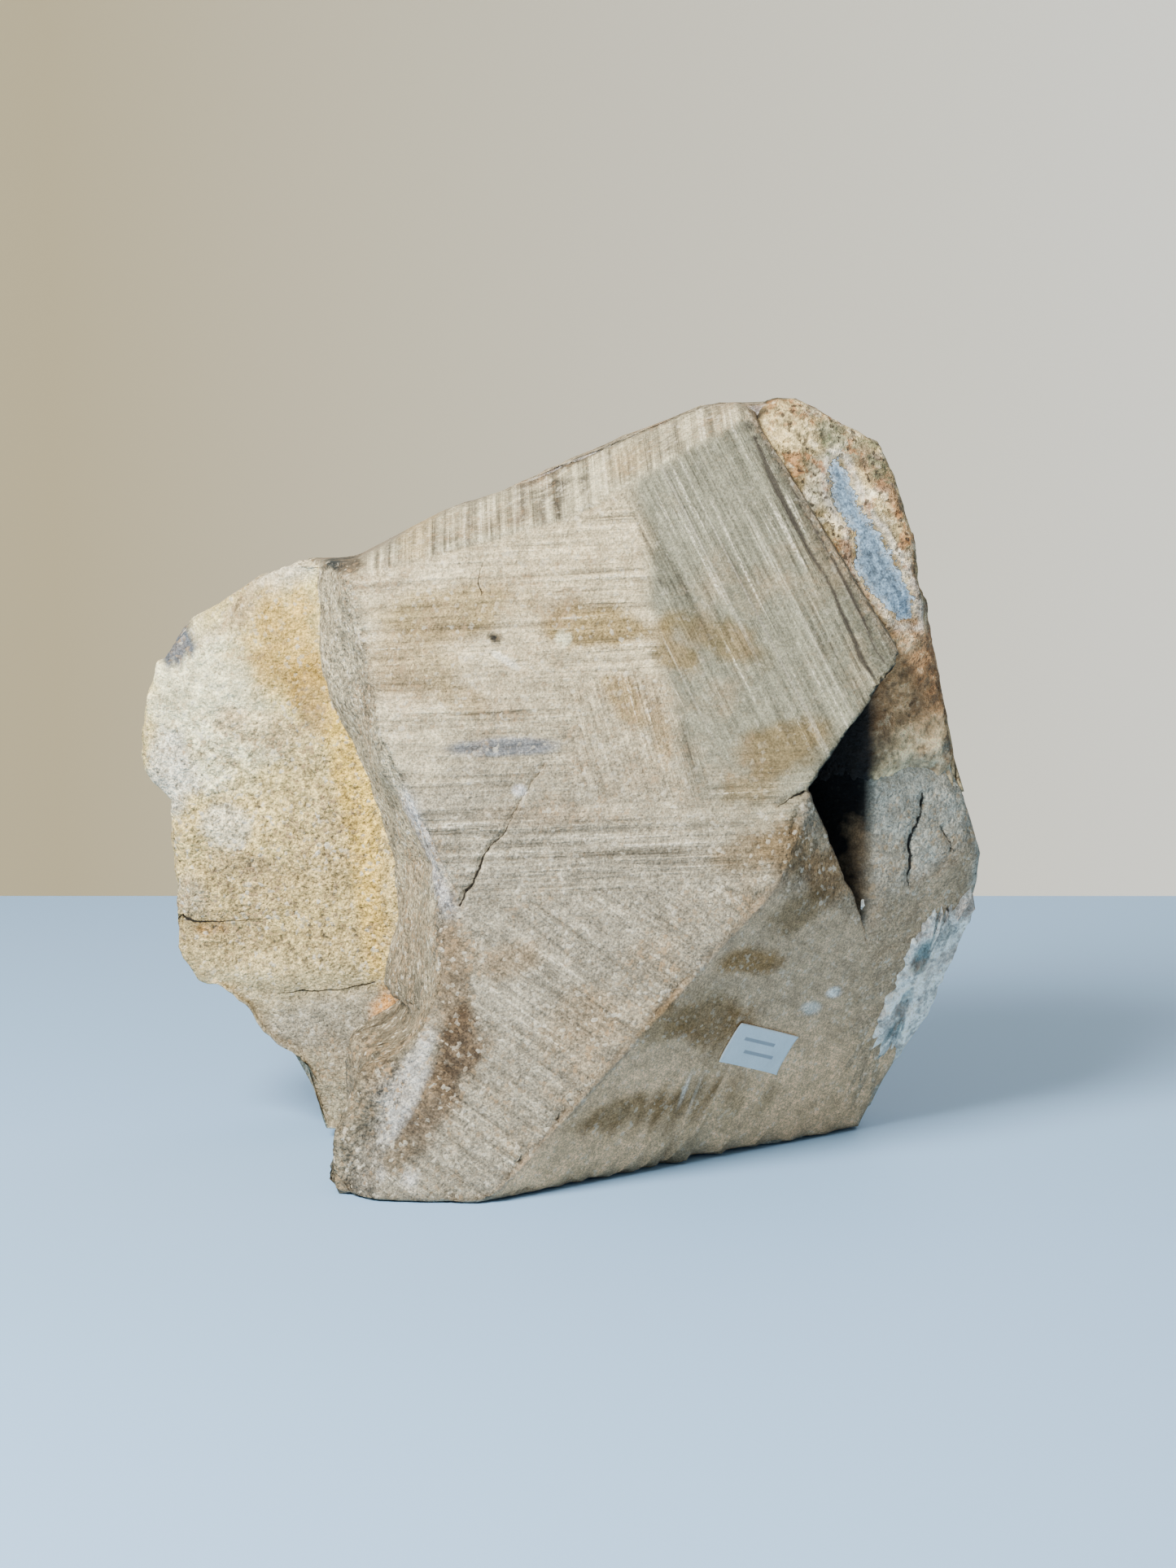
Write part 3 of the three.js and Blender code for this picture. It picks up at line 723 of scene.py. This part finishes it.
def basaltMaterial():
    material, tree, place = newMaterial("basalt")
    finish = basaltFinish
    tint, sawnOne, sawnTwo, grooveSides, grooveWidths = readAttributes(
        tree, "Vector", "tint", "sawnOne", "sawnTwo", "grooveSides", "grooveWidths")
    grain, crackSide, crackWidth = readAttributes(tree, "Fac", "grain", "crackSide", "crackWidth")
    forces = sawnOne.parts() + sawnTwo.parts()[:2]
    slant = forces[1]
    clouds, mottle, coarse, grit, fine = (
        place.noise(*finish[name]) for name in ("clouds", "mottle", "coarse", "grit", "fine")
    )
    grit = grit + (coarse - grit) * grain.remap(0.5, 0.75, 0.25, 1)
    cells = addNode(tree, "TexVoronoi", {"Vector": place, "Scale": finish["cells"]})
    pickRed, pickGreen, pickBlue = Signal(cells.socket.node.outputs["Color"]).parts()
    lines = sum(
        (sawLines(place, across, finish["linesPerMm"], finish["drawnOut"]) - 0.5) * force
        for across, force in zip(sawPasses.values(), forces)
    )
    colour = clouds.remap(0.5, 0.66, 0, 0.35).blend(tint, finish["warm"])
    colour = clouds.tone(colour, 0.35, 0.65, 1.1, 0.9)
    colour = mottle.tone(colour, 0.36, 0.64, 0.86, 1.12)
    colour = lines.tone(colour, -0.13, 0.13, 0.48, 1.46)
    # long straight scratches across the greyer part
    scratch = sawLines(place, sawPasses["slant"], *finish["scratches"])
    colour = (scratch.remap(0.59, 0.66, 0, 0.34) * slant).blend(colour, finish["pale"])
    colour = slant.blend(colour, scratch.tone(colour, 0.34, 0.5, 0.78, 1.0))
    # flecks left bright and dark along the saw lines
    fleck = grit.remap(0.47, 0.53)
    colour = (lines.remap(0.075, 0.12, 0, 0.75) * fleck).blend(colour, finish["pale"])
    colour = (lines.remap(-0.09, -0.14, 0, 0.6) * fleck).blend(colour, finish["dark"])
    # grit: light and dark grains, stronger where the stone is broken rather than sawn
    force = (grain * 0.8 + 0.22).calc("MAXIMUM", 0.0)
    gritty = mottle.tone(colour, 0.38, 0.62, 0.76, 1.18)
    gritty = grit.tone(gritty, 0.38, 0.62, 0.46, 1.46)
    gritty = pickRed.tone(gritty, 0.0, 1.0, 0.8, 1.18)
    colour = fine.tone(force.blend(colour, gritty), 0.38, 0.62, 0.74, 1.24)
    for grains, name in (
        (pickGreen.remap(0.86, 0.9) * mottle.remap(0.42, 0.62, 0.1, 1), "pale"),
        (pickBlue.remap(0.84, 0.9, 0, 0.9) * clouds.remap(0.4, 0.6, 0.1, 1), "tan"),
        (grit.remap(0.40, 0.34, 0, 0.75), "dark"),
    ):
        colour = (grains * force).blend(colour, finish[name])
    # cracks and grooves: painted shade, dark inside their half width
    inside = crackWidth - abs(crackSide + (mottle - 0.5) * 0.8)
    colour = inside.remap(-0.12, 0.06, 0, 0.95).blend(colour, finish["crackShade"])
    for side, width in list(zip(grooveSides.parts(), grooveWidths.parts()))[:2]:
        inside = width - abs(side + (grit - 0.5) * 1.2)
        colour = inside.remap(-0.3, 0.25, 0, 0.85).blend(colour, finish["groove"])
    height = grit * (grain * 0.8 + 0.3) + lines * 1.1 + fine * 0.25 - cells * grain * 0.5
    return dress(material, finish["shader"] | {"Base Color": colour}, height, 1.0, finish["bumpDistance"])


rind = {
    "shells": {
        "plate": {
            "centre": (0, 20.3, 77), "half": (78, 2.8, 74), "skew": (-0.0525, -0.07), "wear": 0.5,
            "columns": (20, 16, 70, 16), "rows": (5, 120, 8),
            "bodies": [["rindFront", "bed"]], "limits": [[]],
        },
        "crust": {
            "centre": (66, 8, 118), "half": (22, 14, 42), "wear": 0.9,
            "columns": (74, 34, 8, 26), "rows": (8, 112, 18),
            "bodies": [["crust", "shoulder", "hollowBack", "innerEdge", "bed"]],
            "limits": [[(2, -1, 75.0)]],
        },
        "patch": {
            "centre": (74, 6, 34), "half": (20, 10, 24), "wear": 0.5,
            "columns": (60, 40, 8, 8), "rows": (6, 74, 6),
            "bodies": [["rimPatch", "underside", "shoulder", "bed"]],
            "limits": [[(0, -1, 64.0), (2, 1, 56.0), (2, -1, 8.0)]],
        },
    },
    "tints": {
        "upper": (238, 212, 152), "middle": (202, 156, 106), "lower": (250, 222, 168),
        "vein": (246, 232, 196), "white": (214, 206, 190), "bed": (196, 194, 190),
        # inside is near black: painted shade in the hollow and in the slab's shadow on the crust
        "patch": (255, 252, 238), "inside": (30, 25, 20), "top": (164, 152, 126),
    },
    # the blue-grey slice sawn through the crust, as corners in the XZ plane, mm
    "slice": [
        (57.2, 148.4), (56.3, 145.5), (56.5, 140.5), (59, 135.4), (61, 132.8), (60.8, 127), (63.6, 121.2),
        (67.4, 118.2), (70.4, 114.4), (74.7, 113.9), (73.8, 119.8), (71, 125.9), (68, 131.4), (63.7, 137.2),
        (61.3, 143.1), (59.2, 147.9),
    ],
    # where the rind is left standing on the underside, out to the rim
    "patchOutline": [
        (90, 54), (81.2, 51.2), (75.2, 45.3), (72.9, 37.2), (67.9, 23.3), (69.5, 18.5), (80, 16), (98, 40),
        (98, 54),
    ],
    "crustBlots": [
        (60, 152, 7, 3.4, -35, (150, 152, 122), 0.6), (55, 143, 3, 6, 15, (178, 172, 146), 0.6),
        (66, 146, 3, 5, 30, (150, 112, 80), 0.5), (69.5, 141, 2.8, 8, 18, (140, 100, 66), 0.85),
        (75.5, 122, 2.6, 9, 10, (132, 92, 58), 0.85), (77, 104, 5, 8, 0, (150, 108, 68), 0.6),
        (72, 112, 5, 3, 0, (176, 132, 88), 0.7), (81.8, 88, 1.8, 2.4, 0, (26, 34, 30), 0.9),
        (74.5, 96.2, 2, 2, 20, (70, 58, 46), 0.5), (66, 92, 3, 10, 10, (92, 70, 48), 0.6),
        (80, 84, 8, 4, 0, (146, 142, 122), 0.6), (82, 141, 2, 2, 0, (60, 66, 66), 0.7),
    ],
    "patchBlots": [
        (77, 41, 2, 4.2, -20, (104, 132, 130), 0.85), (79.5, 44.5, 2.4, 1.6, 20, (110, 134, 132), 0.75),
        (74, 30, 1.3, 4.6, -20, (136, 158, 156), 0.7), (72.6, 24.5, 2, 3, -30, (94, 124, 122), 0.85),
    ],
}
rindTints = {name: paint(*colour) for name, colour in rind["tints"].items()}


def insidePolygon(x, z, corners):
    # Signed distance to a closed outline: positive inside, in mm, as the least distance to its sides.
    corners = np.array(corners, float)
    nearest = np.full(x.shape, 1e6)
    inside = np.zeros(x.shape, bool)
    for start, end in zip(corners, np.roll(corners, -1, 0)):
        run = end - start
        along = np.clip(((x - start[0]) * run[0] + (z - start[1]) * run[1]) / (run @ run), 0, 1)
        away = np.hypot(x - start[0] - along * run[0], z - start[1] - along * run[1])
        nearest = np.minimum(nearest, away)
        if start[1] != end[1]:
            inside ^= ((start[1] > z) != (end[1] > z)) & (x < start[0] + (z - start[1]) / run[1] * run[0])
    return np.where(inside, nearest, -nearest)


def finishRind(key, points, normals, weights, edge):
    # Carves and paints a shell of the rind: lumpy weathered crust, the flat sawn slice in it, smooth bed.
    # Grain is how rough the material shows, and slice how far a point lies inside the slice, mm.
    x, z = points[..., 0], points[..., 2]
    broad, fine = roughness(points, 8, 4, 51), roughness(points, 2.0, 3, 57)
    bed, rim = weights["bed"], weights["rim"]
    inSlice = np.full(x.shape, -9.0)
    if key == "crust":
        front = weights["crust"] + weights["shoulder"]
        inSlice = np.where(front > 0.5, insidePolygon(x, z, rind["slice"]), -9)
        flat = smoothStep(-1.0, 0.6, inSlice)
        lowEnd = smoothStep(84, 78, z + 3 * roughness(points, 11, 3, 3))
        carve = (0.75 * broad + 0.4 * fine - 0.7 * edge) * (1 - flat) - 0.5 * flat
        carve += 0.35 * band(inSlice, -1.1, 0.8) - 2.0 * lowEnd
        upper = smoothStep(106, 124, z + 5 * broad)
        tint = mixed(rindTints["middle"], rindTints["upper"], upper)
        tint = mixed(tint, rindTints["lower"], smoothStep(96, 84, z + 4 * broad))
        patches = smoothStep(-0.1, 0.15, roughness(points, 6, 3, 61))
        veins = smoothStep(0.22, 0.08, np.abs(roughness(points, 7, 3, 63))) * smoothStep(-0.5, 0.1, broad)
        tint = tint * (1 - 0.64 * patches * upper)[..., None]
        tint = mixed(tint, rindTints["vein"], 0.95 * veins * upper)
        # painted shade: the crust darkens to near black in the hollow and where the slab's shadow falls
        # beside it
        shadowNearHollow = 0.85 * smoothStep(69, 63, x + 2 * broad) * smoothStep(108, 98, z)
        innerShade = np.clip(weights["hollowBack"] + weights["innerEdge"] + shadowNearHollow, 0, 1)
        tint = mixed(tint * (1 - 0.5 * rim)[..., None], rindTints["inside"], innerShade)
        tint = blotTint(tint, points, rind["crustBlots"], front)
        whiteRim = band(inSlice + 0.3 * fine, -0.9, 0.7) * (front > 0.5)
        tint = mixed(tint, rindTints["white"], 0.75 * whiteRim)
        grain = (0.5 + 0.5 * upper) * (1 - innerShade)
    elif key == "patch":
        inside = insidePolygon(x, z, rind["patchOutline"]) + 1.2 * broad + 0.5 * fine
        carve = (0.5 + 0.55 * broad + 0.35 * fine) * smoothStep(-0.8, 0.6, inside)
        carve -= 1.6 * smoothStep(0.2, -1.2, inside)
        normals = np.broadcast_to(flatOf("underside")[0], points.shape)
        tint = blotTint(np.zeros(points.shape) + rindTints["patch"], points, rind["patchBlots"])
        grain = 0.45
    else:
        carve = (0.5 * broad + 0.25 * fine - 0.8) * rim + 0.2 * broad * bed - 0.3 * edge
        layer = smoothStep(-0.3, 0.3, np.sin(2.2 * (points[..., 1] + 0.053 * x + 0.0685 * z) + 1.5 * broad))
        tint = mixed(rindTints["bed"], rindTints["patch"] * 0.8, 0.6 * layer * rim)
        tint = mixed(tint, rindTints["upper"], 0.5 * rim * smoothStep(-0.2, 0.8, broad))
        tint = mixed(tint, rindTints["top"], rim * smoothStep(112, 124, z))
        grain = 0.35
    if key != "plate":
        tint = mixed(tint, rindTints["bed"], bed)
    grain = grain * (1 - 0.75 * smoothStep(-0.8, 0.4, inSlice))
    return points + normals * carve[..., None], {"tint": tint, "slice": inSlice, "grain": grain}


rindFinish = {
    "clouds": (110, 5.0, 0.7), "mottle": (330, 4.0, 0.7), "grit": (950, 3.0, 0.75),
    "fine": (2300, 2.0, 0.7), "cells": 1300,
    "orange": (170, 116, 66), "moss": (112, 118, 84), "chalk": (244, 228, 186), "pit": (56, 46, 34),
    "slice": (98, 120, 138), "sliceAcross": (0.905, 0.426), "sliceRim": (206, 214, 214),
    "shader": {"Roughness": 0.72, "Specular IOR Level": 0.4}, "bumpDistance": 0.0010,
}


def rindMaterial():
    material, tree, place = newMaterial("chalcedony")
    finish = rindFinish
    tint, = readAttributes(tree, "Vector", "tint")
    inSlice, grain = readAttributes(tree, "Fac", "slice", "grain")
    clouds, mottle, grit, fine = (
        place.noise(*finish[name]) for name in ("clouds", "mottle", "grit", "fine")
    )
    cells = addNode(tree, "TexVoronoi", {"Vector": place, "Scale": finish["cells"]}, "Color")
    colour = mottle.tone(tint, 0.38, 0.62, 0.52, 1.42)
    for share, name in (
        (clouds.remap(0.52, 0.58, 0, 0.7), "orange"),
        (clouds.remap(0.42, 0.36, 0, 0.65), "moss"),
        (mottle.remap(0.56, 0.64, 0, 0.7), "chalk"),
    ):
        colour = (share * grain).blend(colour, finish[name])
    colour = grain.blend(colour, grit.tone(colour, 0.38, 0.62, 0.5, 1.45))
    colour = (cells.parts()[2].remap(0.9, 0.94, 0, 0.8) * grain).blend(colour, finish["pit"])
    # the sawn slice: blue-grey sugar with a ragged border
    cut = (mottle - 0.5) * 6.5 + (grit - 0.5) * 1.6 + (inSlice - 0.4)
    onSlice = cut.remap(-0.15, 0.2)
    blue = grit.tone(finish["slice"], 0.38, 0.62, 0.5, 1.6)
    blue = fine.tone(blue, 0.38, 0.62, 0.7, 1.3)
    blue = mottle.tone(blue, 0.36, 0.64, 0.8, 1.22)
    blue = sawLines(place, finish["sliceAcross"], 0.9, 9).tone(blue, 0.36, 0.64, 0.66, 1.42)
    blue = (cut.remap(1.6, 0.2, 0, 0.45) * fine.remap(0.42, 0.58, 0.2, 1)).blend(blue, finish["sliceRim"])
    colour = onSlice.blend(colour, blue)
    height = (grit + fine * 0.3 + mottle * 1.2) * (onSlice * -0.7 + 1.0)
    return dress(material, finish["shader"] | {"Base Color": colour}, height, 1.0, finish["bumpDistance"])


amethyst = {
    # lengths in mm, angles in degrees
    "bevel": 0.25, "smallCount": 1250, "seed": 7, "radius": (1.2, 2.9), "height": (2.4, 6.5),
    "splay": 24, "crust": 4.0, "rootDepth": 1.5, "rootShare": 0.95, "inset": 2.6, "rhombAngle": 51.8,
    "middle": (0.0, 0.0, 76.0),
    "cloud": (210, 4.0, 0.6), "root": (214, 200, 226), "tip": (176, 132, 214),
    "shader": {"Transmission Weight": 0.86, "IOR": 1.544, "Roughness": 0.03},
    "absorbed": (0.42, 0.13, 0.68, 1.0), "density": 100.0,
}


def amethystMaterial():
    material, tree, place = newMaterial("amethyst")
    normal, reach = flatOf("bed")
    # height above the bed of the crystals, in mm: normal . (point - heart) - reach
    above = sum(part * float(share / mm) for part, share in zip(place.parts(), normal))
    above = above - float(reach + normal @ heart)
    toTip = (above + (place.noise(*amethyst["cloud"]) - 0.5) * 9.0).remap(1.0, 13.0)
    absorb = tree.nodes.new("ShaderNodeVolumeAbsorption")
    absorb.inputs["Color"].default_value = amethyst["absorbed"]
    absorb.inputs["Density"].default_value = amethyst["density"]
    tree.links.new(absorb.outputs[0], tree.nodes["Material Output"].inputs["Volume"])
    colour = toTip.blend(amethyst["root"], amethyst["tip"])
    return dress(material, amethyst["shader"] | {"Base Color": colour})


def largeCrystals(material):
    # The solid's own crystals, welded, with coplanar triangles joined and every edge worn a little.
    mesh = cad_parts["amethyst_crystals"].data.copy()
    work = bmesh.new()
    work.from_mesh(mesh)
    bmesh.ops.remove_doubles(work, verts=work.verts, dist=0.02 * mm)
    bmesh.ops.dissolve_limit(work, angle_limit=0.5 * degree, verts=work.verts, edges=work.edges)
    work.to_mesh(mesh)
    work.free()
    mesh.polygons.foreach_set("use_smooth", np.zeros(len(mesh.polygons), bool))
    mesh.materials.clear()
    mesh.materials.append(material)
    piece = addObject("amethyst_points", mesh)
    worn = piece.modifiers.new("worn edges", "BEVEL")
    worn.width = amethyst["bevel"] * mm
    worn.segments = 1
    worn.limit_method = "ANGLE"
    worn.angle_limit = 20 * degree
    return piece


def smallCrystals(material):
    # Small quartz points scattered over the crust, all in one mesh. Each is a ring of six at its root and
    # at its shoulder and one tip, which stands radius * tan(rhomb angle) * 0.85 above the shoulder.
    random = np.random.default_rng(amethyst["seed"])
    normal, reach = flatOf("bed")
    count, middle = amethyst["smallCount"], np.array(amethyst["middle"])
    angle = random.uniform(0, 2 * math.pi, count)
    away = np.sqrt(random.uniform(0.02, 1, count)) * amethyst["rootShare"] * rimRadius(middle, angle)
    x, z = middle[0] + np.cos(angle) * away, middle[2] + np.sin(angle) * away
    depth = reach + amethyst["crust"] - amethyst["rootDepth"]
    root = np.stack([x, (depth + normal @ heart - normal[0] * x - normal[2] * z) / normal[1], z], -1)
    lean = np.tan(random.uniform(-1, 1, (count, 2)) * amethyst["splay"] * degree)
    axis = normal + np.stack([lean[:, 0], 0 * x, lean[:, 1]], -1)
    axis /= np.linalg.norm(axis, axis=1, keepdims=True)
    side = np.cross(axis, [0.0, 0.0, 1.0])
    side /= np.linalg.norm(side, axis=1, keepdims=True)
    radius = random.uniform(*amethyst["radius"], count)[:, None, None]
    height = random.uniform(*amethyst["height"], count)[:, None, None] + amethyst["rootDepth"]
    turn = ((np.arange(6) * 60 * degree)[None] + random.uniform(0, 60 * degree, count)[:, None])[..., None]
    ring = side[:, None] * np.cos(turn) + np.cross(axis, side)[:, None] * np.sin(turn)
    low = root[:, None] + ring * radius * random.uniform(0.85, 1.15, (count, 6, 1))
    high = low + axis[:, None] * height * random.uniform(0.86, 1.0, (count, 6, 1))
    peak = height + radius * math.tan(amethyst["rhombAngle"] * degree) * 0.85
    tip = root[:, None] + axis[:, None] * peak
    # only those whose tip stays inside the outline, most of all along the top
    across, up = tip[:, 0, 0] - middle[0], tip[:, 0, 2] - middle[2]
    inset = amethyst["inset"] * (0.35 + 0.65 * smoothStep(85, 105, tip[:, 0, 2]))
    kept = np.hypot(across, up) + inset < rimRadius(middle, np.arctan2(up, across))
    vertices = np.concatenate([low, high, tip], 1)[kept]
    vertices[..., 2] = np.maximum(vertices[..., 2], 0)
    first = (np.arange(len(vertices)) * 13)[:, None]
    here = first + np.arange(6)
    after = first + (np.arange(6) + 1) % 6
    quads = np.stack([here, after, after + 6, here + 6], -1).reshape(-1, 4)
    sides = np.stack([here + 6, after + 6, first + 12 + 0 * here], -1).reshape(-1, 3)
    bottom = (first[:, :, None] + [(0, 2, 1), (0, 3, 2), (0, 4, 3), (0, 5, 4)]).reshape(-1, 3)
    triangles = np.concatenate([sides, bottom])
    vertices = vertices.reshape(-1, 3)
    return meshPiece("amethyst_druse", vertices, quads, triangles, {}, material, smooth=False)


label = {
    # lengths in mm, angles in degrees
    "width": 19.0, "height": 9.5, "thickness": 0.16, "slope": -19, "stand": 0.42, "curl": 0.35,
    "steps": (40, 20), "fibre": (1800, 3.0, 0.6), "smudge": (190, 3.0, 0.6),
    "paper": (206, 214, 214), "ink": (112, 116, 120),
    "bars": ((0.66, 0.2, 0.72), (0.36, 0.3, 0.8)),   # middle up the sheet, start and end along it
}


def labelMaterial():
    material, tree, place = newMaterial("paper")
    u, v, _ = addNode(tree, "UVMap", {}, uv_map="sheet").parts()
    bars = sum(
        abs(v - middle).remap(0.035, 0.05, 1, 0)
        * u.remap(start, start + 0.01) * u.remap(end, end + 0.01, 1, 0)
        for middle, start, end in label["bars"]
    )
    fibre = place.noise(*label["fibre"])
    colour = fibre.tone(label["paper"], 0.3, 0.7, 0.95, 1.04)
    colour = place.noise(*label["smudge"]).tone(colour, 0.35, 0.7, 1.0, 0.9)
    colour = (bars * 0.7).blend(colour, label["ink"])
    return dress(material, {"Base Color": colour, "Roughness": 0.55}, fibre, 0.4, 0.05 * mm)


def makeLabel():
    # A sheet over (u, v) on the underside: middle + along * width * (u - 1/2) + up * height * (v - 1/2),
    # with its corners lifted by curl * (|2u - 1| |2v - 1|)^4.
    normal, reach = flatOf("underside")
    level = np.cross([0.0, 0.0, 1.0], normal)
    level /= np.linalg.norm(level)
    slope = label["slope"] * degree
    along = level * math.cos(slope) + np.cross(normal, level) * math.sin(slope)
    up = np.cross(normal, along)
    middle = np.array(labelPlace)
    middle = middle + normal * (reach - normal @ (middle - heart) + label["stand"])
    sheet = np.stack(np.meshgrid(*(np.linspace(0, 1, steps) for steps in label["steps"])), -1)
    lift = label["curl"] * np.abs(2 * sheet - 1).prod(-1) ** 4
    points = middle + (sheet - 0.5) @ [along * label["width"], up * label["height"]]
    points = points + normal * lift[..., None]
    quads = gridQuads(np.arange(lift.size).reshape(lift.shape))
    piece = meshPiece("sticker", points.reshape(-1, 3), quads, np.zeros((0, 3), int), {}, labelMaterial())
    corners = sheet.reshape(-1, 2)[quads.ravel()]
    piece.data.uv_layers.new(name="sheet").data.foreach_set("uv", corners.astype(np.float32).ravel())
    thick = piece.modifiers.new("paper thickness", "SOLIDIFY")
    thick.thickness = label["thickness"] * mm
    thick.offset = -1
    return piece


stage = {
    # lengths in m, the lens in mm, angles in degrees
    "floor": (156, 196, 236), "farEdge": 0.315, "nearEdge": -1.1, "halfWidth": 1.3,
    # painted light: the backdrop's colour runs lighter to the right, and it glows more at the right
    "backdropLeft": (212, 198, 160), "backdropRight": (255, 255, 246), "backdropSpan": (-0.35, 0.42),
    "backdropGlow": (0.34, 0.5), "worldColour": (224, 224, 220), "worldStrength": 0.55,
    "place": (0.006, -0.7345, 0.182), "pitch": 82, "lens": 80.1,
    # direction, power, distance in m, size in m, colour
    "lamps": {
        "key": ((-0.44, -0.63, 0.64), 18.0, 0.85, 0.32, (1, 0.97, 0.92)),
        "back fill": ((0.5, 0.9, 0.7), 3.0, 1.3, 0.6, (1, 1, 1)),
    },
}


def flatSheet(name, corners, material):
    mesh = bpy.data.meshes.new(name)
    mesh.from_pydata(corners, [], [(0, 1, 2, 3)])
    mesh.materials.append(material)
    return addObject(name, mesh)


def makeStage():
    # The floor, and a backdrop with painted light: it runs from a darker colour at the left to a lighter one
    # at the right and glows a little.
    material, _, place = newMaterial("backdrop")
    across = place.parts()[0]
    colour = across.remap(*stage["backdropSpan"]).blend(stage["backdropLeft"], stage["backdropRight"])
    glow = across.remap(*stage["backdropSpan"], *stage["backdropGlow"])
    dress(material, {
        "Base Color": colour, "Emission Color": colour, "Emission Strength": glow, "Roughness": 1.0,
    })
    wall = flatSheet("backdrop", [(-3, 1.6, -1.5), (3, 1.6, -1.5), (3, 1.6, 2.5), (-3, 1.6, 2.5)], material)
    far, near, side = stage["farEdge"], stage["nearEdge"], stage["halfWidth"]
    material = dress(newMaterial("floor")[0], {"Base Color": stage["floor"], "Roughness": 0.7})
    corners = [(-side, near, 0), (side, near, 0), (side, far, 0), (-side, far, 0)]
    floor = flatSheet("floor", corners, material)


def lightStage():
    # A dim world and square lamps that face the middle of the stone.
    world = bpy.data.worlds.new("studio")
    bpy.context.scene.world = world
    world.use_nodes = True
    inputs = {"Color": stage["worldColour"], "Strength": stage["worldStrength"]}
    feed(world.node_tree.nodes["Background"], inputs)
    for name, (direction, power, distance, size, colour) in stage["lamps"].items():
        lamp = bpy.data.lights.new(name, "AREA")
        lamp.energy = power
        lamp.size = size
        lamp.color = colour
        towards = np.array(direction) / np.linalg.norm(direction)
        holder = addObject(name, lamp)
        holder.location = heart * mm + towards * distance
        holder.rotation_euler = (math.acos(towards[2]), 0, math.atan2(towards[0], -towards[1]))


def placeCamera():
    camera = addObject("camera", bpy.data.cameras.new("camera"))
    camera.data.lens = stage["lens"]
    camera.data.sensor_fit = "AUTO"
    camera.data.sensor_width = 36
    camera.location = stage["place"]
    camera.rotation_euler = (stage["pitch"] * degree, 0, 0)
    bpy.context.scene.camera = camera


placeCamera()
makeStage()
lightStage()
print("camera, floor and lights placed")

purple = amethystMaterial()
rock = stonePiece("basalt_rock", basalt["shells"], finishBasalt, basaltMaterial())
crust = stonePiece("chalcedony_crust", rind["shells"], finishRind, rindMaterial())
pieces = (
    (rock, "basalt_matrix", "basalt"),
    (crust, "chalcedony_rind", "chalcedony"),
    (makeLabel(), "label", "paper"),
    (largeCrystals(purple), "amethyst_crystals", "amethyst"),
    (smallCrystals(purple), None, "amethyst"),
)
for piece, node, slot in pieces:
    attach(piece, "root")
    if node:
        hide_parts(node)
print("pieces placed")
